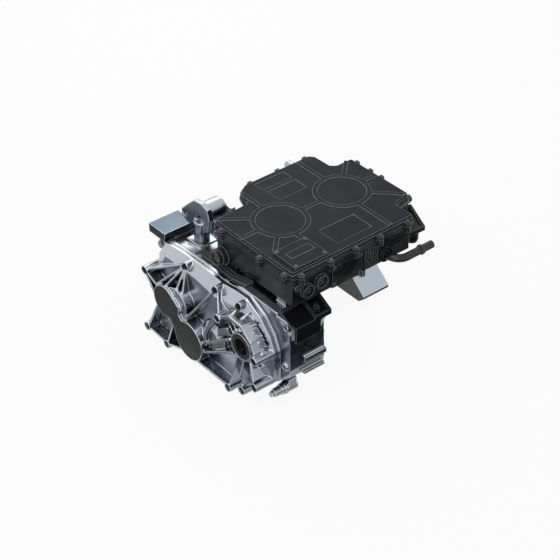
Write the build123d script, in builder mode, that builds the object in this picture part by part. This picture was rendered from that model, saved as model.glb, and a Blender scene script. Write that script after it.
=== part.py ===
from build123d import *
import os
from math import acos, atan2, cos, degrees, hypot, pi, radians, sin, sqrt, tan

# Electric drive unit of a car: reduction gearbox, electric motor and power inverter. Millimetres.
# The origin is the mouth of the left output bore. +X runs along the motor axis, from the gear cover
# to the motor's rear. +Z is up. The side with the cable sockets faces -Y.

os.makedirs("parts", exist_ok=True)

# Fits
running_gap = 0.3  # between a turning piece and the seat around it
screw_gap = 0.2  # around a screw in its hole
gear_gap = 2.7  # between a gear's tips and the casing around it
air_gap = 0.8  # between rotor and stator
backlash = 0.24  # at the pitch circle of each spur gear pair

# Gear train: the input pinion drives the wheel, and the pinion beside it drives the ring gear
module_fast = 2.5
module_slow = 2.75
teeth_input = 27
teeth_wheel = 71
teeth_pinion = 21
teeth_ring = 64
pressure_angle = 20
slow_lean = -22  # direction from the output axis to the intermediate axis, in degrees
fast_lean = 14  # direction from the intermediate axis to the motor axis
fast_gear_width = 32
slow_gear_width = 34
park_gear_width = 14
park_gear_radius = 44
park_gear_teeth = 12
spline_depth = 1.2
spline_lobes = 20
output_bore = 15  # radius of the hole through each side gear hub

# Stations along X
cap_face = -14  # flat end face of the cover's bearing drums
cap_thickness = 8
front_bearing_x = 4
bearing_width = 16
gear_spacing = 10
casing_wall = 8
rear_wall = 10
flange_thickness = 10
motor_length = 280
rear_cover_depth = 40
stator_length = 200
stator_front = 40  # from the motor housing's front face to the stator core
winding_overhang = 25

# Radii on the three axes
shaft_radius = 22  # gear shafts at their splines
journal_radius = 20  # shaft ends in their bearings
bearing_depth = 14  # from a bearing's bore to its outside
ball_radius = 4.2
race_thickness = 4.4
seal_width = 8
seal_outer = 30
seat_wall = 6
rotor_radius = 61.2
rotor_shaft_radius = 26
stator_wall = 33  # from the air gap to the outside of the stator core
housing_wall = 10
housing_flange = 14  # how far the motor flanges stand out
slot_count = 36
slot_depth = 18
magnet_pairs = 8

# Inverter
inverter_floor = 112  # height of its underside
floor_thickness = 8
wall_thickness = 6
wall_inset = 5  # of the walls behind the lid's edge
rim_height = 186
gasket_thickness = 2
lid_height = 14
lid_skin = 4
bead_height = 1.2
bead_inner = 55
bead_outer = 66
bead_width = 10

# Bearings and heights that follow from the values above
centre_slow = module_slow * (teeth_pinion + teeth_ring) / 2
centre_fast = module_fast * (teeth_input + teeth_wheel) / 2
output_axis = (0, 0)
middle_axis = (centre_slow * cos(radians(slow_lean)), centre_slow * sin(radians(slow_lean)))
motor_axis = (
    middle_axis[0] + centre_fast * cos(radians(fast_lean)),
    middle_axis[1] + centre_fast * sin(radians(fast_lean)),
)
fast_gear_x = front_bearing_x + bearing_width + gear_spacing
fast_gear_end = fast_gear_x + fast_gear_width
parting_x = fast_gear_x + 19
wheel_room_x = fast_gear_x - 4
middle_bearing_x = front_bearing_x + 6
slow_gear_x = fast_gear_end + 6
slow_gear_end = slow_gear_x + slow_gear_width
rear_bearing_x = slow_gear_end + 22
case_back = rear_bearing_x + bearing_width
case_end = case_back + rear_wall
motor_end = case_end + motor_length
unit_end = motor_end + rear_cover_depth
stator_x = case_end + stator_front
stator_end = stator_x + stator_length
stator_bore = rotor_radius + air_gap
stator_radius = stator_bore + stator_wall
housing_radius = stator_radius + housing_wall
bearing_outer = journal_radius + bearing_depth
wheel_tip = module_fast * (teeth_wheel / 2 + 1)
ring_tip = module_slow * (teeth_ring / 2 + 1)
input_tip = module_fast * (teeth_input / 2 + 1)
lid_base = rim_height + gasket_thickness
lid_top = lid_base + lid_height
centre_align = (Align.CENTER, Align.CENTER, Align.MIN)
hang_align = (Align.CENTER, Align.CENTER, Align.MAX)


def along_x(x, centre):
    """A place on an axis along X, with its own Z pointing along +X."""
    return Location((x, centre[0], centre[1]), (0, 90, 0))


def disc(x_start, x_end, radius, centre, mode=Mode.ADD):
    """Round bar along X between two stations."""
    with Locations(along_x(x_start, centre)):
        Cylinder(radius, x_end - x_start, align=centre_align, mode=mode)


def ring(x_start, x_end, outer, inner, centre):
    """Round tube along X between two stations."""
    with BuildSketch(Plane.YZ.offset(x_start)) as section:
        with Locations(centre):
            Circle(outer)
            Circle(inner, mode=Mode.SUBTRACT)
    extrude(section.sketch, amount=x_end - x_start)


def block(x, y, z, mode=Mode.ADD):
    """Box between pairs of X, Y and Z values."""
    with Locations(((x[0] + x[1]) / 2, (y[0] + y[1]) / 2, (z[0] + z[1]) / 2)):
        Box(x[1] - x[0], y[1] - y[0], z[1] - z[0], mode=mode)


def prism(points, x_start, x_end, mode=Mode.ADD):
    """Outline of (y, z) corners drawn out along X."""
    with BuildSketch(Plane.YZ.offset(x_start)) as section:
        Polygon(*points)
    extrude(section.sketch, amount=x_end - x_start, mode=mode)


def plate(points, z_start, z_end, radius=0, grow=0, mode=Mode.ADD):
    """Outline of (x, y) corners drawn out along Z, its upright edges rounded, and then grown all round."""
    with BuildSketch(Plane.XY.offset(z_start)) as section:
        Polygon(*points)
        if radius:
            fillet(section.vertices(), radius)
        if grow:
            offset(amount=grow)
    extrude(section.sketch, amount=z_end - z_start, mode=mode)


def post(centre, z_start, z_end, radius, mode=Mode.ADD):
    """Round bar along Z."""
    with Locations((centre[0], centre[1], z_start)):
        Cylinder(radius, z_end - z_start, align=centre_align, mode=mode)


def rib(start, end, crests, base, thickness):
    """Web between two (y, z) points. Its crest runs between two X stations, and its foot lies at base."""
    run = (end[0] - start[0], end[1] - start[1])
    length = hypot(*run)
    along = (0, run[0] / length, run[1] / length)
    side = Plane(origin=(0, start[0], start[1]), x_dir=along, z_dir=(0, along[2], -along[1]))
    with BuildSketch(side) as section:
        Polygon((0, base), (0, crests[0]), (length, crests[1]), (length, base))
    extrude(section.sketch, amount=thickness / 2, both=True)


def inset(points, middle, depth):
    """The same corners, each moved towards a middle point by a depth."""
    moved = []
    for y, z in points:
        reach = hypot(middle[0] - y, middle[1] - z)
        share = depth / reach
        moved.append((y + (middle[0] - y) * share, z + (middle[1] - z) * share))
    return moved


def circle_points(centre, radius, count, start=0):
    """Points evenly round a centre, from a start angle in degrees."""
    angles = [radians(start + 360 * step / count) for step in range(count)]
    return [(centre[0] + radius * cos(a), centre[1] + radius * sin(a)) for a in angles]


def gear_outline(module, teeth, centre, phase, flank_points=4):
    """Corners of an involute spur gear with a tooth centred at the phase angle."""
    pitch_radius = module * teeth / 2
    base_radius = pitch_radius * cos(radians(pressure_angle))
    tip_radius = pitch_radius + module
    root_radius = pitch_radius - 1.25 * module
    flank_start = max(base_radius, root_radius)
    tooth_angle = (pi * module / 2 - backlash / 2) / 2 / pitch_radius
    pitch_involute = tan(radians(pressure_angle)) - radians(pressure_angle)
    flank = []
    for step in range(flank_points):
        radius = flank_start + (tip_radius - flank_start) * step / (flank_points - 1)
        roll = acos(min(1, base_radius / radius))
        flank.append((radius, tooth_angle + pitch_involute - (tan(roll) - roll)))
    if root_radius < base_radius:
        flank.insert(0, (root_radius, flank[0][1]))
    points = []
    for tooth in range(teeth):
        middle = radians(phase) + 2 * pi * tooth / teeth
        sides = [(r, middle - a) for r, a in flank] + [(r, middle + a) for r, a in reversed(flank)]
        points += [(centre[0] + r * cos(a), centre[1] + r * sin(a)) for r, a in sides]
    return points


def spline_outline(radius, centre):
    """Corners of a splined shaft, which is also the shape of the bore on it."""
    points = []
    for step in range(2 * spline_lobes):
        reach = radius + spline_depth / 2 * (1 if step % 2 else -1)
        angle = pi * step / spline_lobes
        points.append((centre[0] + reach * cos(angle), centre[1] + reach * sin(angle)))
    return points


def screw(place, head_radius, head_height, shank_radius, shank_length):
    """Hexagon flange screw. The place is the seat under its head, with Z pointing out of the head."""
    with Locations(place):
        Cylinder(head_radius * screw_flange, head_height * 0.3, align=centre_align)
        Cylinder(shank_radius, shank_length, align=hang_align)
    with BuildSketch(Plane(place)) as hexagon:
        RegularPolygon(head_radius, 6)
    extrude(hexagon.sketch, amount=head_height)


def export(builder, name):
    """Label a finished piece and write its file."""
    builder.part.label = name
    export_step(builder.part, f"parts/{name}.step")


def facing(x, y, z, direction):
    """A place whose Z points along one of the six row directions."""
    turns = {"-x": (0, -90, 0), "+x": (0, 90, 0), "-y": (90, 0, 0), "+y": (-90, 0, 0), "+z": (0, 0, 0)}
    return Location((x, y, z), turns[direction])


# Outlines of the casing, as (y, z) corners seen along the output axis
rim_points = [
    (345, 40), (318, 84), (250, 92), (195, 95), (110, 90), (68, 96), (27, 98), (-20, 74), (-52, 40),
    (-68, 5), (-70, -40), (-68, -76), (-40, -104), (10, -132), (60, -150), (118, -155), (190, -153),
    (262, -160), (348, -154), (335, -90), (322, -40),
]
case_points = [
    (322, 78), (250, 86), (195, 92), (110, 88), (60, 100), (-55, 100), (-100, 66), (-104, -30),
    (-100, -52), (-44, -100), (10, -130), (60, -148), (118, -153), (190, -151), (262, -154), (335, -150),
    (322, -40),
]
casing_middle = (120, -28)
flange_width = 12
nose_inset = 30
nose_x = 19
nose_wall = 6

# Bearing drums of the cover, which end in one flat face
upper_drum = (258, -22)
upper_drum_radius = 40
lower_drum = (172, -83)
lower_drum_radius = 49
drum_bridge = [(224, 4), (206, -10), (206, -30), (196, -40), (212, -110), (226, -76), (240, -60)]

# Screw bosses of the cover: long ones reach the drum face, short ones stand on the flange
long_bosses = [(335, 20), (337, -142), (262, -149), (35, -131), (-14, -108), (-57, -72), (-57, 0)]
short_bosses = [(218, 84), (110, 82), (28, 86), (120, -144)]
long_boss_radius = 11
short_boss_radius = 9
boss_face = -12
arch_boss = (68, 42)
arch_screw_length = 20
short_boss_x = 18
cover_screw_radius = 4
cover_screw_head = 6.5
long_boss_recess = 5
screw_flange = 1.15  # of a screw's flange to its hexagon
screw_head_room = cover_screw_head * screw_flange + 1

# Round recess on the output side of the cover
recess_points = [
    (112, -62), (112, -36), (94, 6), (62, 40), (29, 60), (-8, 58), (-36, 34), (-50, 4), (-52, -40),
    (-44, -76), (-12, -98), (30, -106), (84, -98),
]
arch_points = [(118, -62), (118, -34), (99, 10), (66, 45), (31, 66), (-10, 64), (-41, 39), (-52, 16)]
arch_crest = -8
arch_thickness = 8
hub_step = seal_width + 1
hub_ribs = circle_points(output_axis, 62, 15)
bump_points = [(92, 4), (50, -26), (42, 1), (88, 31)]  # y and depth below the output axis
bump_rounding = 7
bump_height = 15
dome_nose = 26

# Ribs of the cover: from, to, crest stations at both ends, thickness
fan_boss = (218, 84)
fan_crest = short_boss_x + 1.5
drum_crest = cap_face + 3
rib_foot = wheel_room_x + 1.5
cover_ribs = [
    (fan_boss, (293, 3), (fan_crest, drum_crest), 6),
    (fan_boss, (265, 10), (fan_crest, drum_crest), 5),
    (fan_boss, (230, 0), (fan_crest, drum_crest), 6),
    (fan_boss, (204, -20), (fan_crest, drum_crest), 6),
    ((226, 82), (331, 23), (fan_crest, boss_face + 2), 6),
    ((333, 17), (290, 2), (boss_face + 3, drum_crest), 6),
    ((335, 12), (296, -30), (boss_face + 3, drum_crest), 6),
    ((334, -138), (288, -48), (boss_face + 3, drum_crest), 6),
    ((330, -145), (270, -150), (boss_face + 4, boss_face + 4), 5),
    ((260, -143), (230, -66), (boss_face + 3, drum_crest), 5),
    ((255, -147), (196, -124), (boss_face + 3, drum_crest), 5),
    ((113, 78), (196, -44), (fan_crest, drum_crest), 6),
    ((105, 78), (70, 49), (fan_crest, arch_crest + 2), 5),
    ((28, 82), (31, 68), (fan_crest, arch_crest + 2), 5),
    ((10, 63), (3, 79), (arch_crest + 6, 27), 4.4),
    ((-14, 61), (-25, 64), (arch_crest + 6, 27), 4.4),
    ((-28, 49), (-43, 43), (arch_crest + 6, 27), 4.4),
    ((-44, 33), (-58, 21), (arch_crest + 6, 27), 4.4),
    ((135, -70), (35, 1), (drum_crest + 2, -3), 6),
    ((135, -93), (25, -31), (drum_crest + 2, -3), 6),
    ((152, -126), (42, -131), (drum_crest, boss_face + 4), 6),
    ((32, -122), (15, -36), (boss_face + 5, 2), 5),
    ((-12, -99), (-4, -39), (boss_face + 5, 2), 5),
    ((-50, -66), (-28, -28), (boss_face + 5, 2), 5),
    ((-55, -10), (-39, -5), (boss_face + 4, 0), 5),
]


bearings = {
    "rotor": [(motor_axis, front_bearing_x), (motor_axis, rear_bearing_x), (motor_axis, motor_end)],
    "intermediate": [(middle_axis, middle_bearing_x), (middle_axis, rear_bearing_x)],
    "differential": [(output_axis, front_bearing_x + seal_width), (output_axis, rear_bearing_x)],
}
ball_circle = journal_radius + bearing_depth / 2
ball_count = 11

with BuildPart() as outer_races:
    for axis, x_start in sum(bearings.values(), []):
        ring(x_start, x_start + bearing_width, bearing_outer, bearing_outer - race_thickness, axis)
        with Locations(along_x(x_start + bearing_width / 2, axis)):
            Torus(ball_circle, ball_radius + running_gap, mode=Mode.SUBTRACT)
export(outer_races, "bearing_outer_races")

for shaft, places in bearings.items():
    with BuildPart() as inner_races:
        for axis, x_start in places:
            ring(x_start, x_start + bearing_width, journal_radius + race_thickness, journal_radius, axis)
            with Locations(along_x(x_start + bearing_width / 2, axis)):
                Torus(ball_circle, ball_radius + 0.02, mode=Mode.SUBTRACT)
    export(inner_races, f"{shaft}_bearing_inner_races")

    with BuildPart() as balls:
        for axis, x_start in places:
            with Locations(along_x(x_start + bearing_width / 2, axis)):
                with PolarLocations(ball_circle, ball_count):
                    Sphere(ball_radius)
    export(balls, f"{shaft}_bearing_balls")


def bearing_seat(axis, x_start):
    """Pocket for one bearing's outer race."""
    disc(x_start, x_start + bearing_width, bearing_outer, axis, Mode.SUBTRACT)


# Gear cover: a ribbed shell that closes the gear case towards -X. Each front bearing goes in from inside.
cover_cavity_x = nose_x + nose_wall
cover_flange_x = parting_x - flange_thickness
with BuildPart() as gear_cover:
    # drums with the flat face, cut off where the output side begins
    disc(cap_face, cover_flange_x, upper_drum_radius, upper_drum)
    disc(cap_face, cover_flange_x, lower_drum_radius, lower_drum)
    prism(drum_bridge, cap_face, cover_flange_x)
    prism(recess_points, cap_face - 2, parting_x, Mode.SUBTRACT)
    disc(cap_face + cap_thickness, cover_flange_x, bearing_outer + seat_wall, motor_axis)
    # shell and flange
    prism(rim_points, cover_flange_x, parting_x)
    with BuildSketch(Plane.YZ.offset(nose_x)):
        Polygon(*inset(rim_points, casing_middle, nose_inset))
    with BuildSketch(Plane.YZ.offset(cover_flange_x)):
        Polygon(*rim_points)
    loft(ruled=True)
    disc(nose_x, parting_x, wheel_tip + gear_gap + casing_wall, middle_axis)
    # hollow inside
    with BuildSketch(Plane.YZ.offset(cover_cavity_x)):
        Polygon(*inset(rim_points, casing_middle, nose_inset * 0.55 + flange_width))
    with BuildSketch(Plane.YZ.offset(parting_x)):
        Polygon(*inset(rim_points, casing_middle, flange_width))
    loft(ruled=True, mode=Mode.SUBTRACT)
    disc(wheel_room_x, parting_x, wheel_tip + gear_gap, middle_axis, Mode.SUBTRACT)
    # arch around the output, with a soft bump inside it
    for start, end in zip(arch_points, arch_points[1:]):
        rib(start, end, (arch_crest, arch_crest), rib_foot, arch_thickness)
    for point in arch_points:
        disc(arch_crest, nose_x + 2, arch_thickness / 2 + 0.6, point)
    with BuildSketch(Plane(origin=(nose_x + 2, 0, 0), x_dir=(0, 1, 0), z_dir=(-1, 0, 0))) as bump:
        Polygon(*bump_points)
        fillet(bump.vertices(), bump_rounding)
    extrude(bump.sketch, amount=bump_height + 2, taper=14)
    # bearing seats: a stepped hub for the output, a dome for the intermediate shaft
    disc(0, hub_step, seal_outer + 4.5, output_axis)
    disc(hub_step, front_bearing_x + seal_width + bearing_width, bearing_outer + seat_wall, output_axis)
    with Locations(along_x(middle_bearing_x - 9, middle_axis)):
        Cone(dome_nose, bearing_outer + seat_wall, 10, align=centre_align)
    disc(middle_bearing_x, middle_bearing_x + bearing_width, bearing_outer + seat_wall, middle_axis)
    # screw bosses
    for boss in long_bosses:
        disc(boss_face, parting_x, long_boss_radius, boss)
    disc(boss_face, nose_x + 3, long_boss_radius, arch_boss)
    for boss in short_bosses:
        disc(short_boss_x, parting_x, short_boss_radius, boss)
    # fan of ribs from the top boss, ribs across the output side, and small ones around the hub
    for start, end, crests, thickness in cover_ribs:
        rib(start, end, crests, rib_foot, thickness)
    for y, z in hub_ribs:
        rib((y * 0.56, z * 0.56), (y, z), (hub_step - 4, hub_step + 3), rib_foot, 4)
    # bearing pockets and the seal's seat
    for axis, bearing_x in ((motor_axis, front_bearing_x), (middle_axis, middle_bearing_x)):
        disc(bearing_x - 4, parting_x, journal_radius + 4, axis, Mode.SUBTRACT)
        disc(bearing_x, wheel_room_x + 1, bearing_outer, axis, Mode.SUBTRACT)
    disc(0, seal_width + 1, seal_outer, output_axis, Mode.SUBTRACT)
    disc(0, front_bearing_x + seal_width, journal_radius + 6, output_axis, Mode.SUBTRACT)
    disc(front_bearing_x + seal_width, parting_x, bearing_outer, output_axis, Mode.SUBTRACT)
    # gear room again, where bosses and ribs came through
    disc(wheel_room_x, parting_x, wheel_tip + gear_gap, middle_axis, Mode.SUBTRACT)
    disc(wheel_room_x, parting_x, input_tip + gear_gap, motor_axis, Mode.SUBTRACT)
    for boss in long_bosses:
        disc(boss_face, parting_x, cover_screw_radius + screw_gap, boss, Mode.SUBTRACT)
    disc(boss_face, nose_x - 2, cover_screw_radius + screw_gap, arch_boss, Mode.SUBTRACT)
    for boss in long_bosses + [arch_boss]:
        disc(boss_face, boss_face + long_boss_recess, screw_head_room, boss, Mode.SUBTRACT)
    for boss in short_bosses:
        disc(short_boss_x, parting_x, cover_screw_radius + screw_gap, boss, Mode.SUBTRACT)
        disc(cap_face, short_boss_x, screw_head_room, boss, Mode.SUBTRACT)
export(gear_cover, "gear_cover")

case_screw_depth = 13
with BuildPart() as cover_bolts:
    seat_x = boss_face + long_boss_recess
    for boss in long_bosses:
        length = parting_x - seat_x + case_screw_depth
        screw(facing(seat_x, *boss, "-x"), cover_screw_head, 5, cover_screw_radius, length)
    screw(facing(seat_x, *arch_boss, "-x"), cover_screw_head, 5, cover_screw_radius, arch_screw_length)
    for boss in short_bosses:
        length = parting_x - short_boss_x + case_screw_depth
        screw(facing(short_boss_x, *boss, "-x"), cover_screw_head, 5, cover_screw_radius, length)
export(cover_bolts, "cover_bolts")

# Gear case: open towards -X, with the motor's front bearing wall at its back
floor_z = -160
foot_pads = [((66, 146), (18, 58)), ((66, 146), (240, 306))]
tower_pads = [((84, 112), (-50, -20)), ((84, 112), (118, 150))]
side_bars = [((92, 150), (-22, -8)), ((88, 146), (-53, -45))]
lug_bosses = [(-91, 81), (-86, -27)]
shelf_y = (-122, -60)
fill_plug = (346, 60)
motor_flange = housing_radius + housing_flange
motor_screw_circle = housing_radius + housing_flange / 2
motor_screw_points = circle_points(motor_axis, motor_screw_circle, 8, 22.5)
motor_screw_radius = 3
motor_screw_hole = motor_screw_radius + screw_gap
shelf_z = 100
actuator_foot = (107, 271)
park_bore = 9
pawl_pivot = (292, 26)
pawl_x = slow_gear_x + 1
pawl_width = park_gear_width - 2
pawl_pin_radius = 5
hanger_x = pawl_x + pawl_width + 2
left_bracket_screws = [(96, 28), (96, 60)]
bracket_screw_depth = 9
case_mouth = inset(rim_points, casing_middle, flange_width)
case_room = inset(case_points, casing_middle, casing_wall + 3)
case_room_x = parting_x + flange_thickness + 4
case_boss_end = parting_x + case_screw_depth + 6
case_depths = inset(case_points, casing_middle, casing_wall + 6)
with BuildPart() as gear_case:
    prism(rim_points, parting_x, parting_x + flange_thickness)
    prism(case_points, parting_x + flange_thickness / 2, case_end)
    disc(case_back, case_end, motor_flange, motor_axis)
    for boss in long_bosses + short_bosses:
        disc(parting_x, case_boss_end, long_boss_radius, boss)
    with BuildSketch(Plane.YZ.offset(parting_x)) as mouth:
        Polygon(*case_mouth)
        Polygon(*case_room, mode=Mode.INTERSECT)
    extrude(mouth.sketch, amount=case_room_x - parting_x, mode=Mode.SUBTRACT)
    prism(case_room, case_room_x, case_back, Mode.SUBTRACT)
    for boss in long_bosses + short_bosses:
        disc(parting_x, case_boss_end, long_boss_radius - 2, boss)
    disc(parting_x, parting_x + flange_thickness, 13, fill_plug)
    # side bars, lugs, feet and the pads under the inverter
    for x, z in side_bars:
        block(x, (-110, -86), z)
    for lug in lug_bosses:
        disc(parting_x, parting_x + 14, 10, lug)
    for x, y in foot_pads:
        block(x, y, (floor_z, floor_z + 16))
    for x, y in tower_pads:
        block(x, y, (78, inverter_floor))
    block((parting_x, case_end), shelf_y, (shelf_z - 8, shelf_z))
    for x in (parting_x + 10, case_end - 16):
        prism([(shelf_y[0] + 1, shelf_z - 4), (-95, shelf_z - 4), (-95, 36)], x, x + 8)
    block((82, 132), (246, 296), (72, 90))
    # gear rooms
    prism(case_depths, parting_x + 40, case_back, Mode.SUBTRACT)
    disc(parting_x, slow_gear_x - 2, wheel_tip + gear_gap, middle_axis, Mode.SUBTRACT)
    disc(slow_gear_x - 4, slow_gear_end + 4, ring_tip + gear_gap, output_axis, Mode.SUBTRACT)
    # rear bearing seats
    for axis in (motor_axis, middle_axis, output_axis):
        disc(rear_bearing_x, case_end, bearing_outer + seat_wall, axis)
        bearing_seat(axis, rear_bearing_x)
    disc(rear_bearing_x, case_end, rotor_shaft_radius + 2, motor_axis, Mode.SUBTRACT)
    disc(rear_bearing_x, case_end, journal_radius + 6, output_axis, Mode.SUBTRACT)
    disc(case_end - seal_width - 1, case_end, seal_outer, output_axis, Mode.SUBTRACT)
    # screw holes
    screw_hole_end = parting_x + case_screw_depth + 1
    for boss in long_bosses + short_bosses:
        disc(parting_x, screw_hole_end, cover_screw_radius + screw_gap, boss, Mode.SUBTRACT)
    for lug in lug_bosses:
        disc(parting_x, parting_x + 10, 4, lug, Mode.SUBTRACT)
    for point in motor_screw_points:
        disc(case_back - 4, case_end, motor_screw_hole, point, Mode.SUBTRACT)
    disc(parting_x, parting_x + flange_thickness, 6.5, fill_plug, Mode.SUBTRACT)
    post(actuator_foot, 60, 90, park_bore + running_gap, Mode.SUBTRACT)
    block((hanger_x, hanger_x + 10), (pawl_pivot[0] - 9, pawl_pivot[0] + 9), (pawl_pivot[1] - 10, 76))
    disc(hanger_x, hanger_x + 10, pawl_pin_radius, pawl_pivot, Mode.SUBTRACT)
    for x, z in left_bracket_screws:
        with Locations(facing(x, case_points[0][0] - bracket_screw_depth, z, "+y")):
            Cylinder(motor_screw_hole, bracket_screw_depth + 1, align=centre_align, mode=Mode.SUBTRACT)
export(gear_case, "gear_case")

with BuildPart() as oil_plugs:
    disc(parting_x - 5, parting_x, 9, fill_plug)
    disc(parting_x, parting_x + flange_thickness, 6.5, fill_plug)
export(oil_plugs, "oil_fill_plug")

with BuildPart() as output_seals:
    for x_start in (0, case_end - seal_width):
        ring(x_start, x_start + seal_width, seal_outer, journal_radius + running_gap, output_axis)
export(output_seals, "output_seals")

# Shafts and gears
with BuildPart() as rotor_shaft:
    disc(front_bearing_x - 2, front_bearing_x + bearing_width, journal_radius, motor_axis)
    prism(spline_outline(shaft_radius, motor_axis), front_bearing_x + bearing_width, rear_bearing_x)
    disc(rear_bearing_x, case_end, journal_radius, motor_axis)
    disc(case_end, motor_end - 4, rotor_shaft_radius, motor_axis)
    disc(motor_end - 4, motor_end + bearing_width + 6, journal_radius, motor_axis)
export(rotor_shaft, "rotor_shaft")

input_phase = 180 + fast_lean + 180 / teeth_input
input_teeth = gear_outline(module_fast, teeth_input, motor_axis, input_phase)
with BuildPart() as input_pinion:
    prism(input_teeth, fast_gear_x - 1, fast_gear_end + 1)
    prism(spline_outline(shaft_radius, motor_axis), fast_gear_x - 1, fast_gear_end + 1, Mode.SUBTRACT)
export(input_pinion, "input_pinion")

park_gear_x = slow_gear_x
park_gear_end = park_gear_x + park_gear_width
park_points = []
for tooth in range(park_gear_teeth):
    for share, reach in ((0.0, -7), (0.12, 0), (0.5, 0), (0.62, -7)):
        angle = 2 * pi * (tooth + share) / park_gear_teeth
        radius = park_gear_radius + reach
        park_points.append((motor_axis[0] + radius * cos(angle), motor_axis[1] + radius * sin(angle)))
with BuildPart() as park_gear:
    prism(park_points, park_gear_x, park_gear_end)
    prism(spline_outline(shaft_radius, motor_axis), park_gear_x, park_gear_end, Mode.SUBTRACT)
export(park_gear, "park_gear")

with BuildPart() as intermediate_shaft:
    disc(middle_bearing_x - 2, middle_bearing_x + bearing_width, journal_radius, middle_axis)
    prism(spline_outline(shaft_radius, middle_axis), middle_bearing_x + bearing_width, rear_bearing_x)
    disc(rear_bearing_x, case_back, journal_radius, middle_axis)
export(intermediate_shaft, "intermediate_shaft")

with BuildPart() as intermediate_gear:
    prism(gear_outline(module_fast, teeth_wheel, middle_axis, fast_lean), fast_gear_x, fast_gear_end)
    prism(spline_outline(shaft_radius, middle_axis), fast_gear_x, fast_gear_end, Mode.SUBTRACT)
export(intermediate_gear, "intermediate_gear")

pinion_phase = 180 + slow_lean + 180 / teeth_pinion
pinion_outline = gear_outline(module_slow, teeth_pinion, middle_axis, pinion_phase)
with BuildPart() as intermediate_pinion:
    prism(pinion_outline, slow_gear_x - 1, slow_gear_end + 1)
    prism(spline_outline(shaft_radius, middle_axis), slow_gear_x - 1, slow_gear_end + 1, Mode.SUBTRACT)
export(intermediate_pinion, "intermediate_pinion")

carrier_flange = module_slow * (teeth_ring / 2 - 1.25) - 12
with BuildPart() as ring_gear:
    prism(gear_outline(module_slow, teeth_ring, output_axis, slow_lean), slow_gear_x, slow_gear_end)
    prism(spline_outline(carrier_flange, output_axis), slow_gear_x, slow_gear_end, Mode.SUBTRACT)
export(ring_gear, "ring_gear")

# Differential: a carrier with four bevel gears on two crossed axes
bevel_module = 3.6
side_teeth = 16
spider_teeth = 10
bevel_play = 1.3
bevel_tip = 0.8 * bevel_module
bevel_root = 1.25 * bevel_module
bevel_face = 10
apex_x = (slow_gear_x + slow_gear_end) / 2 + 8
side_pitch = bevel_module * side_teeth / 2
spider_pitch = bevel_module * spider_teeth / 2
cone_length = hypot(side_pitch, spider_pitch)
carrier_room = 44
barrel_radius = carrier_room + 9
pin_radius = 7


def bevel_sections(teeth, pitch, reach, phase):
    """Corners of a bevel gear's big end and small end, about its own axis, with their heights."""
    cone = atan2(pitch, reach)
    half_pitch = (pi * bevel_module / 2 - bevel_play) / 2
    tip_cone = cone + atan2(bevel_tip, cone_length)
    root_cone = cone - atan2(bevel_root, cone_length)
    slope = tan(radians(pressure_angle))
    tip_angle = (half_pitch - bevel_tip * slope) / (pitch + bevel_tip * cos(cone))
    root_angle = (half_pitch + bevel_root * slope) / (pitch - bevel_root * cos(cone))
    sections = []
    for height in (reach, reach * (1 - bevel_face / cone_length)):
        points = []
        for tooth in range(teeth):
            middle = radians(phase) + 2 * pi * tooth / teeth
            corners = ((root_cone, -root_angle), (tip_cone, -tip_angle), (tip_cone, tip_angle),
                       (root_cone, root_angle))
            for corner_cone, turn in corners:
                radius = height * tan(corner_cone)
                points.append((radius * cos(middle + turn), radius * sin(middle + turn)))
        sections.append((height, points))
    return sections


with BuildPart() as differential_carrier:
    disc(front_bearing_x + seal_width, rear_bearing_x + bearing_width, journal_radius, output_axis)
    disc(slow_gear_x - 2, rear_bearing_x - 2, barrel_radius, output_axis)
    prism(spline_outline(carrier_flange, output_axis), slow_gear_x + 10, slow_gear_x + 24)
    disc(apex_x - 24, apex_x + 24, carrier_room, output_axis, Mode.SUBTRACT)
    disc(front_bearing_x, rear_bearing_x + bearing_width, output_bore, output_axis, Mode.SUBTRACT)
    with Locations(Location((apex_x, 0, 0), (90, 0, 0))):
        Cylinder(pin_radius, 4 * barrel_radius, mode=Mode.SUBTRACT)
export(differential_carrier, "differential_carrier")

with BuildPart() as cross_pin:
    with Locations(Location((apex_x, 0, 0), (90, 0, 0))):
        Cylinder(pin_radius, 2 * barrel_radius)
export(cross_pin, "cross_pin")

bevel_gears = {
    "side_gear_left": ((-1, 0, 0), (0, 1, 0), side_teeth, side_pitch, spider_pitch, 0, carrier_room - 20),
    "side_gear_right": ((1, 0, 0), (0, 1, 0), side_teeth, side_pitch, spider_pitch, 0, carrier_room - 20),
    "spider_gear_front": ((0, -1, 0), (1, 0, 0), spider_teeth, spider_pitch, side_pitch, 18, 0),
    "spider_gear_rear": ((0, 1, 0), (1, 0, 0), spider_teeth, spider_pitch, side_pitch, 18, 0),
}
for name, (away, across, teeth, pitch, reach, phase, hub_radius) in bevel_gears.items():
    ends = bevel_sections(teeth, pitch, reach, phase)
    with BuildPart() as bevel_gear:
        sketches = []
        for height, points in ends:
            origin = (apex_x + away[0] * height, away[1] * height, 0)
            with BuildSketch(Plane(origin=origin, x_dir=across, z_dir=away)) as section:
                Polygon(*points)
            sketches.append(section.sketch)
        loft(sketches, ruled=True)
        if hub_radius:
            back = apex_x + away[0] * reach
            outer_end = apex_x + away[0] * (carrier_room / 2 + 1.5)
            disc(min(back, outer_end), max(back, outer_end), hub_radius, output_axis)
            disc(apex_x - 40, apex_x + 40, output_bore, output_axis, Mode.SUBTRACT)
        else:
            with Locations(Location((apex_x, 0, 0), (90, 0, 0))):
                Cylinder(pin_radius + 0.05, 4 * barrel_radius, mode=Mode.SUBTRACT)
    export(bevel_gear, name)

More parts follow.
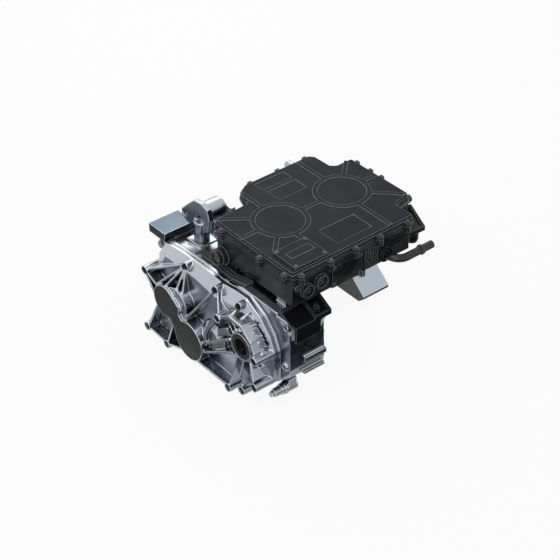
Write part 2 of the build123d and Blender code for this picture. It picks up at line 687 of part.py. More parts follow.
# Electric motor
inverter_posts = [(x, y) for x in ((190, 215), (380, 405)) for y in ((150, 178), (214, 240))]
bar_slot = ((166, 184), (motor_axis[0] - 34, motor_axis[0] + 34))
tower_wall = 6
tower = [(side[0] - tower_wall, side[1] + tower_wall) for side in bar_slot]
motor_flange_depth = 12
motor_screw_head = 5
motor_head_room = motor_screw_head * screw_flange + 1
with BuildPart() as motor_housing:
    disc(case_end, motor_end, housing_radius, motor_axis)
    disc(case_end, case_end + motor_flange_depth, motor_flange, motor_axis)
    disc(motor_end - motor_flange_depth, motor_end, motor_flange, motor_axis)
    for x in range(int(case_end) + 45, int(motor_end) - 40, 30):
        disc(x, x + 5, housing_radius + 3, motor_axis)
    for x, y in inverter_posts:
        block(x, y, (motor_axis[1] + 60, inverter_floor))
    block(*tower, (motor_axis[1] + 60, inverter_floor))
    disc(case_end, motor_end, stator_radius, motor_axis, Mode.SUBTRACT)
    block(*bar_slot, (motor_axis[1] + 80, inverter_floor), Mode.SUBTRACT)
    head_x = case_end + motor_flange_depth
    for point in motor_screw_points:
        disc(head_x, head_x + 6, motor_head_room, point, Mode.SUBTRACT)
    for point in motor_screw_points:
        for x in (case_end, motor_end - motor_flange_depth):
            disc(x, x + motor_flange_depth, motor_screw_hole, point, Mode.SUBTRACT)
export(motor_housing, "motor_housing")

cover_flange = 10
cup_radius = 95
end_wall = 6
foot_plate_x = unit_end
foot_plate_depth = 10
foot_screw_points = circle_points(motor_axis, 60, 12, 215)[:3]
with BuildPart() as motor_rear_cover:
    disc(motor_end, motor_end + cover_flange, motor_flange, motor_axis)
    disc(motor_end + cover_flange, unit_end, cup_radius, motor_axis)
    disc(motor_end, unit_end - end_wall, cup_radius - 7, motor_axis, Mode.SUBTRACT)
    disc(motor_end, unit_end - end_wall, bearing_outer + seat_wall + 2, motor_axis)
    disc(motor_end, unit_end - end_wall, bearing_outer, motor_axis, Mode.SUBTRACT)
    for angle in range(0, 360, 60):
        inner = circle_points(motor_axis, bearing_outer + 4, 1, angle)[0]
        outer = circle_points(motor_axis, cup_radius - 4, 1, angle)[0]
        rib(inner, outer, (motor_end + 6, motor_end + 6), unit_end - 2, 6)
    for point in motor_screw_points:
        disc(motor_end, motor_end + cover_flange, motor_screw_hole, point, Mode.SUBTRACT)
    for point in foot_screw_points:
        disc(unit_end - end_wall, unit_end, motor_screw_hole, point, Mode.SUBTRACT)
export(motor_rear_cover, "motor_rear_cover")

with BuildPart() as unit_bolts:
    for point in motor_screw_points:
        front = facing(case_end + motor_flange_depth, *point, "+x")
        screw(front, motor_screw_head, 4, motor_screw_radius, motor_flange_depth + rear_wall)
        rear = facing(motor_end + cover_flange, *point, "+x")
        screw(rear, motor_screw_head, 4, motor_screw_radius, cover_flange + motor_flange_depth)
    for point in foot_screw_points:
        seat = facing(foot_plate_x + foot_plate_depth, *point, "+x")
        screw(seat, motor_screw_head, 4, motor_screw_radius, 14)
    for x, z in left_bracket_screws:
        seat_y = case_points[0][0] + 8
        screw(facing(x, seat_y, z, "+y"), motor_screw_head, 4, motor_screw_radius, 8 + bracket_screw_depth)
export(unit_bolts, "unit_bolts")

slot_width = 5
slot_points = []
for slot in range(slot_count):
    middle = 2 * pi * slot / slot_count
    half = slot_width / 2 / (stator_bore + slot_depth)
    for radius, turn in ((stator_bore, -half), (stator_bore + slot_depth, -half),
                         (stator_bore + slot_depth, half), (stator_bore, half)):
        angle = middle + turn
        slot_points.append((motor_axis[0] + radius * cos(angle), motor_axis[1] + radius * sin(angle)))
with BuildPart() as stator_core:
    disc(stator_x, stator_end, stator_radius, motor_axis)
    prism(slot_points, stator_x, stator_end, Mode.SUBTRACT)
export(stator_core, "stator_core")

winding_inner = stator_bore + 3
winding_outer = stator_bore + slot_depth + 7
with BuildPart() as stator_winding:
    ring(stator_x - winding_overhang, stator_x, winding_outer, winding_inner, motor_axis)
    ring(stator_end, stator_end + winding_overhang, winding_outer, winding_inner, motor_axis)
    with Locations(along_x(stator_x - 1, motor_axis)):
        with PolarLocations(stator_bore + slot_depth / 2 + 1, slot_count):
            Box(slot_depth - 5, slot_width - 2.4, stator_length + 2, align=centre_align)
export(stator_winding, "stator_winding")

end_plate = 6
magnet_size = (5, 15)
magnet_circle = rotor_radius - 8
with BuildPart() as rotor_core:
    ring(stator_x, stator_end, rotor_radius, rotor_shaft_radius, motor_axis)
    with Locations(along_x(stator_x, motor_axis)):
        with PolarLocations(magnet_circle, 2 * magnet_pairs):
            Box(*magnet_size, stator_length, align=centre_align, mode=Mode.SUBTRACT)
export(rotor_core, "rotor_core")

with BuildPart() as rotor_magnets:
    with Locations(along_x(stator_x, motor_axis)):
        with PolarLocations(magnet_circle, 2 * magnet_pairs):
            Box(*magnet_size, stator_length, align=centre_align)
export(rotor_magnets, "rotor_magnets")

with BuildPart() as rotor_end_plates:
    ring(stator_x - end_plate, stator_x, rotor_radius - 2, rotor_shaft_radius, motor_axis)
    ring(stator_end, stator_end + end_plate, rotor_radius - 2, rotor_shaft_radius, motor_axis)
export(rotor_end_plates, "rotor_end_plates")

resolver_x = motor_end + bearing_width + 1
resolver_width = 5
with BuildPart() as resolver_rotor:
    ring(resolver_x, resolver_x + resolver_width, journal_radius + 5, journal_radius, motor_axis)
export(resolver_rotor, "resolver_rotor")

with BuildPart() as resolver_stator:
    ring(resolver_x, resolver_x + resolver_width + 2, bearing_outer, journal_radius + 6, motor_axis)
export(resolver_stator, "resolver_stator")

bar_size = (6, 14)
bar_top = inverter_floor + 44
with BuildPart() as phase_busbars:
    for across in (-24, 0, 24):
        reach = max(abs(across) - bar_size[1] / 2, 0)
        foot = motor_axis[1] + sqrt(winding_outer**2 - reach**2) + 0.1
        y = motor_axis[0] + across
        x = stator_x - winding_overhang / 2 - 3
        bar_x = (x - bar_size[0] / 2, x + bar_size[0] / 2)
        bar_y = (y - bar_size[1] / 2, y + bar_size[1] / 2)
        block(bar_x, bar_y, (foot, bar_top))
export(phase_busbars, "phase_busbars")

# Parking lock: a shaft down from the actuator turns a lever over the pawl's back
pawl_points = [
    (302, 20), (301, 34), (290, 39), (242, 52), (228, 51), (224, 42), (226, 34), (236, 34), (242, 42),
    (272, 34), (284, 18), (294, 14),
]
lever_nose_z = 48
with BuildPart() as park_pawl:
    prism(pawl_points, pawl_x, pawl_x + pawl_width)
    disc(pawl_x, pawl_x + pawl_width, pawl_pin_radius + 0.05, pawl_pivot, Mode.SUBTRACT)
export(park_pawl, "park_pawl")

with BuildPart() as park_pawl_pin:
    disc(pawl_x - 3, hanger_x + 10, pawl_pin_radius, pawl_pivot)
    disc(pawl_x - 5, pawl_x - 3, pawl_pin_radius + 3, pawl_pivot)
export(park_pawl_pin, "park_pawl_pin")

lever_z = 56
lever_tip = actuator_foot[0] - 37
lever_y = (actuator_foot[1] - 5, actuator_foot[1] + 5)
with BuildPart() as park_shaft:
    post(actuator_foot, lever_z, 152, park_bore)
    block((lever_tip, actuator_foot[0]), lever_y, (lever_z, lever_z + 5))
    block((lever_tip, lever_tip + 10), lever_y, (lever_nose_z, lever_z))
export(park_shaft, "park_shaft")

actuator_axis = (264, 161)
actuator_radius = 26
flange_points = [
    (241, 124), (262, 116), (300, 110), (334, 124), (336, 142), (306, 172), (288, 188), (262, 192),
    (240, 184), (232, 160),
]
with BuildPart() as actuator_housing:
    post(actuator_foot, 90, 140, 18)
    prism(flange_points, 100, 112)
    disc(112, 152, actuator_radius, actuator_axis)
    block((112, 130), (252, 276), (110, 150))
    post(actuator_foot, 90, 154, park_bore + running_gap, Mode.SUBTRACT)
    disc(96, 116, 7, (324, 134), Mode.SUBTRACT)
export(actuator_housing, "actuator_housing")

with BuildPart() as actuator_cap:
    disc(152, 157, actuator_radius - 2, actuator_axis)
    disc(157, 164, 13, actuator_axis)
export(actuator_cap, "actuator_cap")

# Inverter
lid_points = [
    (75, 184), (172, 188), (190, 236), (214, 249), (400, 249), (411, 236), (413, 187), (424, 178),
    (469, 178), (473, -11), (424, -22), (424, -79), (78, -79),
]
lid_rounding = 7
room_inset = wall_inset + wall_thickness
floor_top = inverter_floor + floor_thickness
lid_screw_points = [
    (99, -84), (180, -84), (251, -84), (321, -84), (401, -84), (70, 151), (71, 21), (72, -60), (234, 254),
    (314, 254), (394, 254), (475, 165), (476, 121), (477, 85),
]
lug_radius = 7.5
lug_height = 12
lid_screw_radius = 2.5
lid_screw_hole = lid_screw_radius + screw_gap
lid_screw_length = 18
board_posts = [(110, -30), (110, 150), (394, -30), (394, 150)]
board_z = 172
socket_places = [(119, 142), (157, 150)]
socket_radius = 16.5
socket_bore = 12.5
socket_length = 12
vent_place = (93, 161)
vent_radius = 8
wall_y = -79 + wall_inset
wall_x = 75 + wall_inset
connector_place = (149, 129)
panel_x = (189, 274)
panel_z = (114, 171)
panel_depth = 6
panel_screws = [(x, z) for x in (195, 268) for z in (120, 165)]
with BuildPart() as inverter_case:
    plate(lid_points, inverter_floor, rim_height, lid_rounding, -wall_inset)
    plate(lid_points, rim_height - 8, rim_height, lid_rounding, 2)
    for x, y in lid_screw_points:
        post((x, y), rim_height - lug_height - 2, rim_height, lug_radius)
    plate(lid_points, floor_top, rim_height, lid_rounding, -room_inset, Mode.SUBTRACT)
    for x, y in board_posts:
        post((x, y), floor_top - floor_thickness / 2, board_z, 4)
    for x in range(286, 322, 7):
        block((x, x + 2.5), (wall_y - 3, wall_y + 1), (inverter_floor + 4, rim_height - 16))
    block(*bar_slot, (inverter_floor - 1, floor_top + 1), Mode.SUBTRACT)
    for x, y in lid_screw_points:
        post((x, y), rim_height - lid_screw_length + 8, rim_height, lid_screw_hole, Mode.SUBTRACT)
    for x, z in panel_screws:
        with Locations(facing(x, wall_y - 1, z, "+y")):
            Cylinder(lid_screw_hole, 6, align=centre_align, mode=Mode.SUBTRACT)
export(inverter_case, "inverter_case")

with BuildPart() as lid_gasket:
    plate(lid_points, rim_height, lid_base, lid_rounding, -1)
    plate(lid_points, rim_height, lid_base, lid_rounding, -room_inset, Mode.SUBTRACT)
export(lid_gasket, "lid_gasket")

bead_circles = [(186, 90), (363.5, 90)]
bead_corner = 60
straight_beads = [
    ((186 - bead_corner, 90), (76, 90)), ((186, 90 + bead_corner), (186, 224)),
    ((178, 90 - bead_corner), (178, 6)),
    ((186 + bead_corner, 90), (363.5 - bead_corner, 90)), ((145, 131), (82, 178)), ((144, 49), (104, 9)),
    ((363.5, 90 + bead_corner), (363.5, 243)), ((358, 90 - bead_corner), (358, -73)),
    ((406, 48), (462, -8)), ((405, 132), (452, 176)), ((363.5 + bead_corner, 90), (466, 90)),
]
service_x = (94, 184)
service_y = (-71, 4)
service_z = lid_top + 4
screw_edge = 6
service_screws = [
    (x, y) for x in (service_x[0] + screw_edge, service_x[1] - screw_edge)
    for y in (service_y[0] + screw_edge, service_y[1] - screw_edge)
]
panel_beads = [((225, 323), (-53, 7)), ((232, 313), (205, 234)), ((235, 314), (152, 193))]
with BuildPart() as inverter_lid:
    plate(lid_points, lid_base, lid_base + 8, lid_rounding)
    plate(lid_points, lid_base + 8, lid_top, lid_rounding, -3)
    for x, y in lid_screw_points:
        post((x, y), lid_base, lid_base + 6, lug_radius)
    plate(lid_points, lid_base, lid_top - lid_skin, lid_rounding, -room_inset, Mode.SUBTRACT)
    for circle in bead_circles:
        with BuildSketch(Plane.XY.offset(lid_top)):
            with Locations(circle):
                Circle(bead_outer)
                Circle(bead_inner, mode=Mode.SUBTRACT)
        extrude(amount=bead_height)
    for start, end in straight_beads:
        length = hypot(end[0] - start[0], end[1] - start[1])
        turn = degrees(atan2(end[1] - start[1], end[0] - start[0]))
        with Locations(Location((*start, lid_top), (0, 0, turn))):
            Box(length, bead_width, bead_height, align=(Align.MIN, Align.CENTER, Align.MIN))
    for x, y in panel_beads:
        block(x, y, (lid_top - 1, lid_top), Mode.SUBTRACT)
    for x, y in lid_screw_points:
        post((x, y), lid_base, lid_base + 6, lid_screw_hole, Mode.SUBTRACT)
    for x, y in service_screws:
        post((x, y), lid_top - lid_skin, lid_top, lid_screw_hole, Mode.SUBTRACT)
export(inverter_lid, "inverter_lid")

with BuildPart() as service_cover:
    block(service_x, service_y, (lid_top, service_z))
    block((110, 173), (-40, -18), (service_z, service_z + 1))
    for x, y in service_screws:
        post((x, y), lid_top, service_z, lid_screw_hole, Mode.SUBTRACT)
export(service_cover, "service_cover")

with BuildPart() as inverter_screws:
    for x, y in lid_screw_points:
        screw(facing(x, y, lid_base + 6, "+z"), 4.2, 4, lid_screw_radius, lid_screw_length - 2)
    for x, y in service_screws:
        screw(facing(x, y, service_z, "+z"), 3.6, 2, lid_screw_radius, service_z - lid_top + lid_skin)
    for x, z in panel_screws:
        screw(facing(x, wall_y - panel_depth, z, "-y"), 4.2, 3, lid_screw_radius, panel_depth + 5)
export(inverter_screws, "inverter_screws")

with BuildPart() as side_panel:
    block(panel_x, (wall_y - panel_depth, wall_y), panel_z)
    for x, z in panel_screws:
        with Locations(facing(x, wall_y - panel_depth, z, "+y")):
            Cylinder(lid_screw_hole, panel_depth, align=centre_align, mode=Mode.SUBTRACT)
export(side_panel, "side_panel")

with BuildPart() as hv_sockets:
    for x, z in socket_places:
        with Locations(facing(x, wall_y, z, "-y")):
            Cylinder(socket_radius + 1.5, 5, align=centre_align)
            Cylinder(socket_radius, socket_length, align=centre_align)
        with Locations(facing(x, wall_y - 4, z, "-y")):
            Cylinder(socket_bore, socket_length, align=centre_align, mode=Mode.SUBTRACT)
    with Locations(facing(vent_place[0], wall_y, vent_place[1], "-y")):
        Cylinder(vent_radius, 7, align=centre_align)
    with Locations(facing(vent_place[0], wall_y - 3, vent_place[1], "-y")):
        Cylinder(vent_radius - 3, 7, align=centre_align, mode=Mode.SUBTRACT)
export(hv_sockets, "hv_sockets")

with BuildPart() as lv_connector:
    disc(wall_x - 8, wall_x, 22, connector_place)
    disc(wall_x - 20, wall_x, 19.5, connector_place)
    disc(wall_x - 30, wall_x, 17, connector_place)
    disc(wall_x - 30, wall_x - 8, 12.5, connector_place, Mode.SUBTRACT)
export(lv_connector, "lv_connector")

signal_places = [(48, 164), (14, 164)]
with BuildPart() as signal_connectors:
    for place in signal_places:
        disc(455, 474, 12, place)
        disc(474, 500, 9, place)
        disc(488, 494, 10.5, place)
    plate(lid_points, inverter_floor, rim_height, lid_rounding, -wall_inset, Mode.SUBTRACT)
export(signal_connectors, "signal_connectors")

pipe_radius = 9.25
pipe_bore = 6.5
pipe_start = (345, wall_y, 132)
pipe_corner_y = -115
pipe_end_x = 448
pipe_bend = 30
pipe_root = (pipe_start[0], pipe_start[1] - 4, pipe_start[2])
pipe_corner = (pipe_start[0], pipe_corner_y, pipe_start[2])
pipe_end = (pipe_end_x, pipe_corner_y, pipe_start[2])
with BuildPart() as coolant_pipe:
    with BuildLine():
        FilletPolyline(pipe_root, pipe_corner, pipe_end, radius=pipe_bend)
    with BuildSketch(Plane(origin=pipe_root, z_dir=(0, -1, 0))):
        Circle(pipe_radius)
        Circle(pipe_bore, mode=Mode.SUBTRACT)
    sweep()
    with Locations(facing(*pipe_start, "-y")):
        Cylinder(19, 6, align=centre_align)
        Cylinder(pipe_bore, 10, align=centre_align, mode=Mode.SUBTRACT)
    ring(412, 418, pipe_radius + 2.5, pipe_radius - 1, (pipe_corner_y, pipe_start[2]))
export(coolant_pipe, "coolant_pipe")

outlet_place = (386, 158)
outlet_length = 62
with BuildPart() as coolant_outlet:
    with Locations(facing(outlet_place[0], 244, outlet_place[1], "+y")):
        Cylinder(13, 6, align=centre_align)
        Cylinder(9.5, outlet_length, align=centre_align)
        Cylinder(7, outlet_length, align=centre_align, mode=Mode.SUBTRACT)
    plate(lid_points, inverter_floor, rim_height, lid_rounding, -wall_inset, Mode.SUBTRACT)
export(coolant_outlet, "coolant_outlet")

with BuildPart() as power_module:
    block((118, 260), (30, 165), (floor_top, floor_top + 18))
    block((128, 250), (40, 155), (floor_top + 18, floor_top + 24))
export(power_module, "power_module")

with BuildPart() as dc_capacitor:
    block((275, 415), (10, 130), (floor_top, floor_top + 40))
    fillet(dc_capacitor.edges().filter_by(Axis.Z), 8)
export(dc_capacitor, "dc_capacitor")

with BuildPart() as control_board:
    block((100, 404), (-40, 160), (board_z, board_z + 2))
    for x, y, width, depth in ((180, 60, 40, 40), (300, 20, 50, 22), (300, 110, 30, 30), (370, 60, 20, 50)):
        block((x, x + width), (y, y + depth), (board_z + 2, board_z + 6))
export(control_board, "control_board")

# Brackets
left_top = (78, 100)
with BuildPart() as left_mount_bracket:
    block((43, 125), (326, 385), left_top)
    block((70, 130), (case_points[0][0], case_points[0][0] + 8), (12, left_top[0] + 1))
    for x in (72, 116):
        prism([(324, 12), (330, 12), (384, left_top[0] + 2), (324, left_top[0] + 2)], x, x + 9)
    for x in (60, 108):
        with Locations(facing(x, 386, 89, "-y")):
            Cylinder(5, 26, align=centre_align, mode=Mode.SUBTRACT)
    for x, z in left_bracket_screws:
        with Locations(facing(x, case_points[0][0] - 1, z, "+y")):
            Cylinder(motor_screw_hole, 12, align=centre_align, mode=Mode.SUBTRACT)
export(left_mount_bracket, "left_mount_bracket")

foot_points = [(95, -139), (137, -103), (160, -84), (232, -84), (232, floor_z), (112, floor_z), (95, -146)]
foot_plate_points = [(128, -110), (128, -60), (162, -38), (232, -44), (262, -60), (262, -92), (232, -110)]
foot_pocket_points = [(170, -150), (222, -150), (222, -88), (170, -88)]
foot_x = (motor_end + 16, unit_end + 56)
foot_holes = [(462, 150), (506, 150)]
with BuildPart() as rear_foot_bracket:
    prism(foot_points, *foot_x)
    prism(foot_plate_points, foot_plate_x, foot_plate_x + foot_plate_depth)
    disc(foot_x[0] - 2, foot_plate_x, cup_radius, motor_axis, Mode.SUBTRACT)
    prism(foot_pocket_points, foot_plate_x + foot_plate_depth, foot_x[1], Mode.SUBTRACT)
    for x, y in foot_holes:
        post((x, y), floor_z, floor_z + 22, 5, Mode.SUBTRACT)
    for point in foot_screw_points:
        disc(foot_plate_x, foot_plate_x + foot_plate_depth, motor_screw_hole, point, Mode.SUBTRACT)
export(rear_foot_bracket, "rear_foot_bracket")

tray_z = (shelf_z + 6, inverter_floor)
bracket_drop_y = (-131, -125)
with BuildPart() as front_bracket:
    plate([(46, -131), (143, -131), (163, -66), (163, -60), (60, -60), (46, -110)], shelf_z, tray_z[0])
    block((113, 161), (-70, -61), (tray_z[0], inverter_floor))
    # rim of the tray, with a clip post in it
    plate([(98, -131), (143, -131), (143, -127), (98, -127)], *tray_z)
    plate([(139, -131), (143, -131), (163, -66), (159, -66)], *tray_z)
    plate([(98, -131), (102, -131), (120, -68), (116, -68)], *tray_z)
    post((122, -107), *tray_z, 7)
    post((122, -107), tray_z[0] + 2, tray_z[1], 4, Mode.SUBTRACT)
    post((131, -96), tray_z[0], tray_z[0] + 4, 4.5)
    block((60, 100), (-70, -64), (tray_z[0], tray_z[0] + 4))
    # front skirt, bent down
    block((46, 114), bracket_drop_y, (66, shelf_z))
export(front_bracket, "front_bracket")

right_z = (139, 145)
with BuildPart() as right_bracket:
    plate([(412, -72), (466, -74), (501, 9), (501, 34), (460, 34), (460, -10), (412, -10)], *right_z)
    plate([(412, -72), (466, -74), (466, -68), (412, -66)], right_z[1], right_z[1] + 5)
    plate([(460, -73), (466, -74), (501, 9), (495, 11)], right_z[1], right_z[1] + 5)
    post((450, -50), 106, right_z[0], 13)
    post((450, -50), 112, 130, 15)
    post((450, -50), 106, 122, 5, Mode.SUBTRACT)
    plate(lid_points, inverter_floor - 10, rim_height, lid_rounding, -wall_inset, Mode.SUBTRACT)
export(right_bracket, "right_bracket")

pump_axis = (-58, -116)
with BuildPart() as oil_pump:
    disc(62, 104, 13, pump_axis)
    disc(44, 62, 10, pump_axis)
    disc(36, 44, 7, pump_axis)
    disc(70, 76, 15, pump_axis)
    block((78, 100), (-70, -46), (-112, -90))
    prism(case_points, parting_x, case_end, Mode.SUBTRACT)
export(oil_pump, "oil_pump")
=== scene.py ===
import math

import bmesh
import bpy
from bpy.props import FloatProperty, FloatVectorProperty, IntProperty, PointerProperty
from mathutils import Matrix, Vector


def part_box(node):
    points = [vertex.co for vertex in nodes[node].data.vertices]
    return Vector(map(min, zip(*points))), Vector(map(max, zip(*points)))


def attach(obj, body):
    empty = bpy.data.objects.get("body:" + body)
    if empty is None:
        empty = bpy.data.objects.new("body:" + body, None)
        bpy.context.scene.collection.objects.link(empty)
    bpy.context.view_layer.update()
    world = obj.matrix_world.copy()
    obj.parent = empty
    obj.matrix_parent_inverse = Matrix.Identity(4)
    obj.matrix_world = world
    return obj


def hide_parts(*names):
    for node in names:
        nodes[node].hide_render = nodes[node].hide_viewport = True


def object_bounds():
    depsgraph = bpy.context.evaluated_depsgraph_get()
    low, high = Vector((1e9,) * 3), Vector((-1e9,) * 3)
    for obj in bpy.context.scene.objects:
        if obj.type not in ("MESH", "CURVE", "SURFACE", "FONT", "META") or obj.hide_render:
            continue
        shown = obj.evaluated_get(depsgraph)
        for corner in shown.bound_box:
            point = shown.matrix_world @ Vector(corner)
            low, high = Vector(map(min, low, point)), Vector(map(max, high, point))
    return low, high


bl_info = {
    "name": "Electric drive unit finish",
    "version": (1, 0, 0),
    "blender": (4, 5, 0),
    "location": "View3D > Sidebar > Drive unit",
    "description": "Gives an electric drive unit its cast skins, coatings, contacts and stage",
    "category": "Object",
}

MM = 0.001
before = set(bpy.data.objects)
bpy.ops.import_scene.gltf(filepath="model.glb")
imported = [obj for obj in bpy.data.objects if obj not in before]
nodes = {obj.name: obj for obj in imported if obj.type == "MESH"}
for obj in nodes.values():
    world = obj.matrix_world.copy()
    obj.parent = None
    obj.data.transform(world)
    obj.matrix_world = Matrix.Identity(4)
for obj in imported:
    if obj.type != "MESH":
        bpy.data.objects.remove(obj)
cad_low, cad_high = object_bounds()
FLOOR_HEIGHT = cad_low.z

# places on the unit, in millimetres
CASE_FLOOR = 112  # the inverter's underside
# painted dark reflection: flat forward faces in front of this X are drawn dark
DARK_REFLECTION_END = -11.3  # flat faces in front of this X are end faces of drums and bosses
SOCKET_FACE = -78  # the inverter's front wall, where the sockets stand
SOCKETS = ((119, 142), (157, 150))  # X and Z of the two high-voltage sockets
PLUG_FACE = (72, 149, 129)  # the round connector on the inverter's end wall
DUCT_ROUTE = ((236, 88.4), (195, 93.2), (110, 89.2), (56, 101))  # Y and Z of the duct's underside
DUCT_SPAN = (62, 82)  # X of the duct's two sides
BAR_PITCH = 24  # the phase bars stand so far apart along Y

# painted light: the castings' faces are drawn lighter the more they face this way, which comes from
# above and from the cover's side
PAINTED_LIGHT_FROM = (-0.42, 0.1, 0.9)
# a face is flat and faces forward where its normal's X is below this
FACING_FORWARD = -0.995

# the camera and the spot that it aims at, in millimetres
CAMERA_PLACE = (-1736.5, -2231.6, 2298.9)
CAMERA_AIM = (47.41, -76.12, 202.0)
# soft boxes: name, the setting of their power, and edge and place in metres
SOFT_BOXES = (
    ("key_box", "key_power", 1.6, (-1.3, -0.6, 2.4)),
    ("rim_box", "rim_power", 1.4, (1.2, 1.9, 1.7)),
    ("front_box", "front_power", 1.2, (-1.9, -1.6, 0.55)),
)
# the spot that all soft boxes aim at, in metres
LIGHT_AIM = (0.2, 0.08, 0.05)
# cards on the floor: name, the setting of their colour, and middle and edges in metres
CARDS = (
    ("left_card", "side_card", (-0.3, 0.25), (0.48, 1.1)),
    ("front_card", "front_card", (0.3, -0.42), (0.9, 0.42)),
)


def linear(code):
    """sRGB hex colour to linear red, green and blue."""
    shares = [int(code[start:start + 2], 16) / 255 for start in (1, 3, 5)]
    return tuple(
        share / 12.92 if share <= 0.04045 else ((share + 0.055) / 1.055) ** 2.4 for share in shares
    )


def colour(name, description, code):
    """A colour that a user can change, with its default given as an sRGB hex value."""
    return FloatVectorProperty(
        name=name, description=description, subtype="COLOR", size=3, min=0, max=1, default=linear(code)
    )


def length(name, description, millimetres):
    """A length that a user can change, with its default given in millimetres."""
    return FloatProperty(
        name=name, description=description, subtype="DISTANCE", unit="LENGTH", min=0,
        default=millimetres * MM,
    )


def power(name, description, watts):
    """A lamp's power that a user can change."""
    return FloatProperty(name=name, description=description, unit="POWER", min=0, default=watts)


class DriveUnitMetals(bpy.types.PropertyGroup):
    """Bare and plated metals of the casing, the screws and the gears."""

    # painted light: casting faces turned towards one direction are drawn in the second of these two
    # colours, and faces turned away in the first
    cast: colour("Cast aluminium", "Casting skin on sides that the shot hardly hits", "#7d858e")
    cast_painted_light: colour("Blasted aluminium", "Casting skin where the shot lands squarely", "#b9bfc6")
    # painted highlight: edges of the castings and other metals are drawn in this near-white colour,
    # partly as worn edges; it is also a pale cloud colour of screws and nickel
    pale_metal_and_edge_highlight: colour("Worn casting edge", "Edges that the blasting has polished", "#f4f7fa")
    # painted shade: corners and pockets of the metal are drawn in this dark colour; it is also the dark
    # gap between stacked core sheets
    painted_shade_and_sheet_gap: colour("Casting hollow", "Corners where the mould's dark release film stays", "#3d4248")
    # painted dark reflection: flat end faces that face forward are drawn in this dark colour
    forward_face_painted_reflection: colour("Sealed face", "Flat end faces under their dark sealing coat", "#1d1d1d")
    machined: colour("Machined aluminium", "Milled and turned feet and pipes", "#acb6c0")
    anodised: colour("Anodised aluminium", "Mount bracket under its blue-grey anodic film", "#5d6873")
    zinc: colour("Zinc plating", "Screw heads", "#9a9da1")
    oxide: colour("Black oxide", "Heads of the gear cover's screws", "#1c1c1e")
    ground_steel: colour("Ground steel", "Gear teeth and shafts", "#8b8e92")
    bearing_steel: colour("Bearing steel", "Balls and races", "#a9acb0")
    cast_iron: colour("Cast iron", "Differential carrier", "#4a4a4b")
    core_sheet: colour("Core sheet", "Edges of the stacked core sheets", "#5d6064")
    enamelled_copper: colour("Enamelled copper", "Windings under their clear enamel", "#a3552b")
    nickel: colour("Nickel plating", "Magnets and contacts", "#97958c")


class DriveUnitCoats(bpy.types.PropertyGroup):
    """Paint, rubber and plastic of the inverter and the small pieces."""

    lid: colour("Lid powder coat", "Matt dark blue-grey", "#1a1e25")
    lid_cloud: colour("Lid cloud", "Paler clouds in the lid's coat", "#20242b")
    # painted highlight: the lid's beads and edges and the sockets' edges are drawn in this pale colour,
    # partly as worn coat
    lid_edge_highlight_and_wear: colour("Lid edge", "Coat worn thin along the pressed beads", "#b4b9c0")
    case: colour("Case coat", "Satin black electro-dipped coat", "#0f1012")
    # painted sheen: the black case's paler clouds stand for mottled reflections; this colour is also the
    # painted edge highlight of the seals and resin
    case_sheen_and_edge_highlight: colour("Case cloud", "Paler clouds in the black coat", "#3f4145")
    # painted highlight: edges of the case, brackets and hose are drawn in this colour, partly as worn
    # coat
    case_edge_highlight_and_wear: colour("Case edge", "Coat worn along edges", "#85888d")
    bracket: colour("Bracket coat", "Black coated steel", "#0e0e10")
    nylon: colour("Nylon", "Glass-filled nylon of the sockets", "#151517")
    hose: colour("Hose rubber", "Black rubber of the coolant hose", "#0d0e10")
    seal: colour("Seal rubber", "Oil seal lips and gasket", "#101011")
    board: colour("Board", "Solder mask of the control board", "#1d4a2b")
    resin: colour("Resin", "Moulded case of the power module and capacitor", "#2a2a2c")


class DriveUnitSizes(bpy.types.PropertyGroup):
    """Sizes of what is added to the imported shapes."""

    skin_step: length("Skin step", "Size of one face of a cast skin", 1.25)
    skin_rounds: IntProperty(
        name="Skin rounds", description="Smoothing rounds that fillet a cast skin", min=0, default=5
    )
    skin_faces: FloatProperty(
        name="Skin faces", description="Share of a cast skin's faces that is kept",
        subtype="FACTOR", min=0, max=1, default=0.35,
    )
    core_radius: length("Socket core", "Radius of the insulating core in each socket", 8.6)
    guard_radius: length("Contact guard", "Radius of the guard over each high-voltage contact", 3.4)
    signal_pin: length("Signal pin", "Radius of one pin of the round connector", 0.9)
    duct_wall: length("Duct wall", "Wall of the cable duct", 2)
    cap_wall: length("Cap wall", "Room and wall of the cap around the phase bars", 3)


class DriveUnitStage(bpy.types.PropertyGroup):
    """Floor, light and camera."""

    floor: colour("Floor", "Pale studio floor", "#f4f4f4")
    floor_white: FloatProperty(
        name="Floor white", description="How far the floor goes to white where the camera sees it",
        subtype="FACTOR", min=0, max=1, default=0.92,
    )
    side_card: colour("Side card", "Pale grey card that the gear cover mirrors", "#b4b7bc")
    front_card: colour("Front card", "Dark grey card that the casing's front mirrors", "#37393c")
    floor_size: length("Floor size", "Edge of the square floor", 30000)
    key_power: power("Key light", "Power of the main soft box", 12)
    rim_power: power("Rim light", "Power of the back soft box", 10)
    front_power: power("Front light", "Power of the low soft box", 5)
    fill: FloatProperty(
        name="Fill", description="Level of the even light from all round", min=0, default=0.5
    )
    lens: FloatProperty(name="Lens", description="Focal length on a 36 mm frame", min=1, default=108.8)


# Materials


def add(tree, kind, values=None, links=None, **settings):
    """One shader node with its settings, its fixed inputs and the outputs that feed it."""
    node = tree.nodes.new(kind)
    for name, value in settings.items():
        setattr(node, name, value)
    for socket, value in (values or {}).items():
        node.inputs[socket].default_value = value
    for socket, source in (links or {}).items():
        tree.links.new(source, node.inputs[socket])
    return node


def rgba(value):
    """A colour with its alpha, as a socket wants it."""
    return (*value, 1)


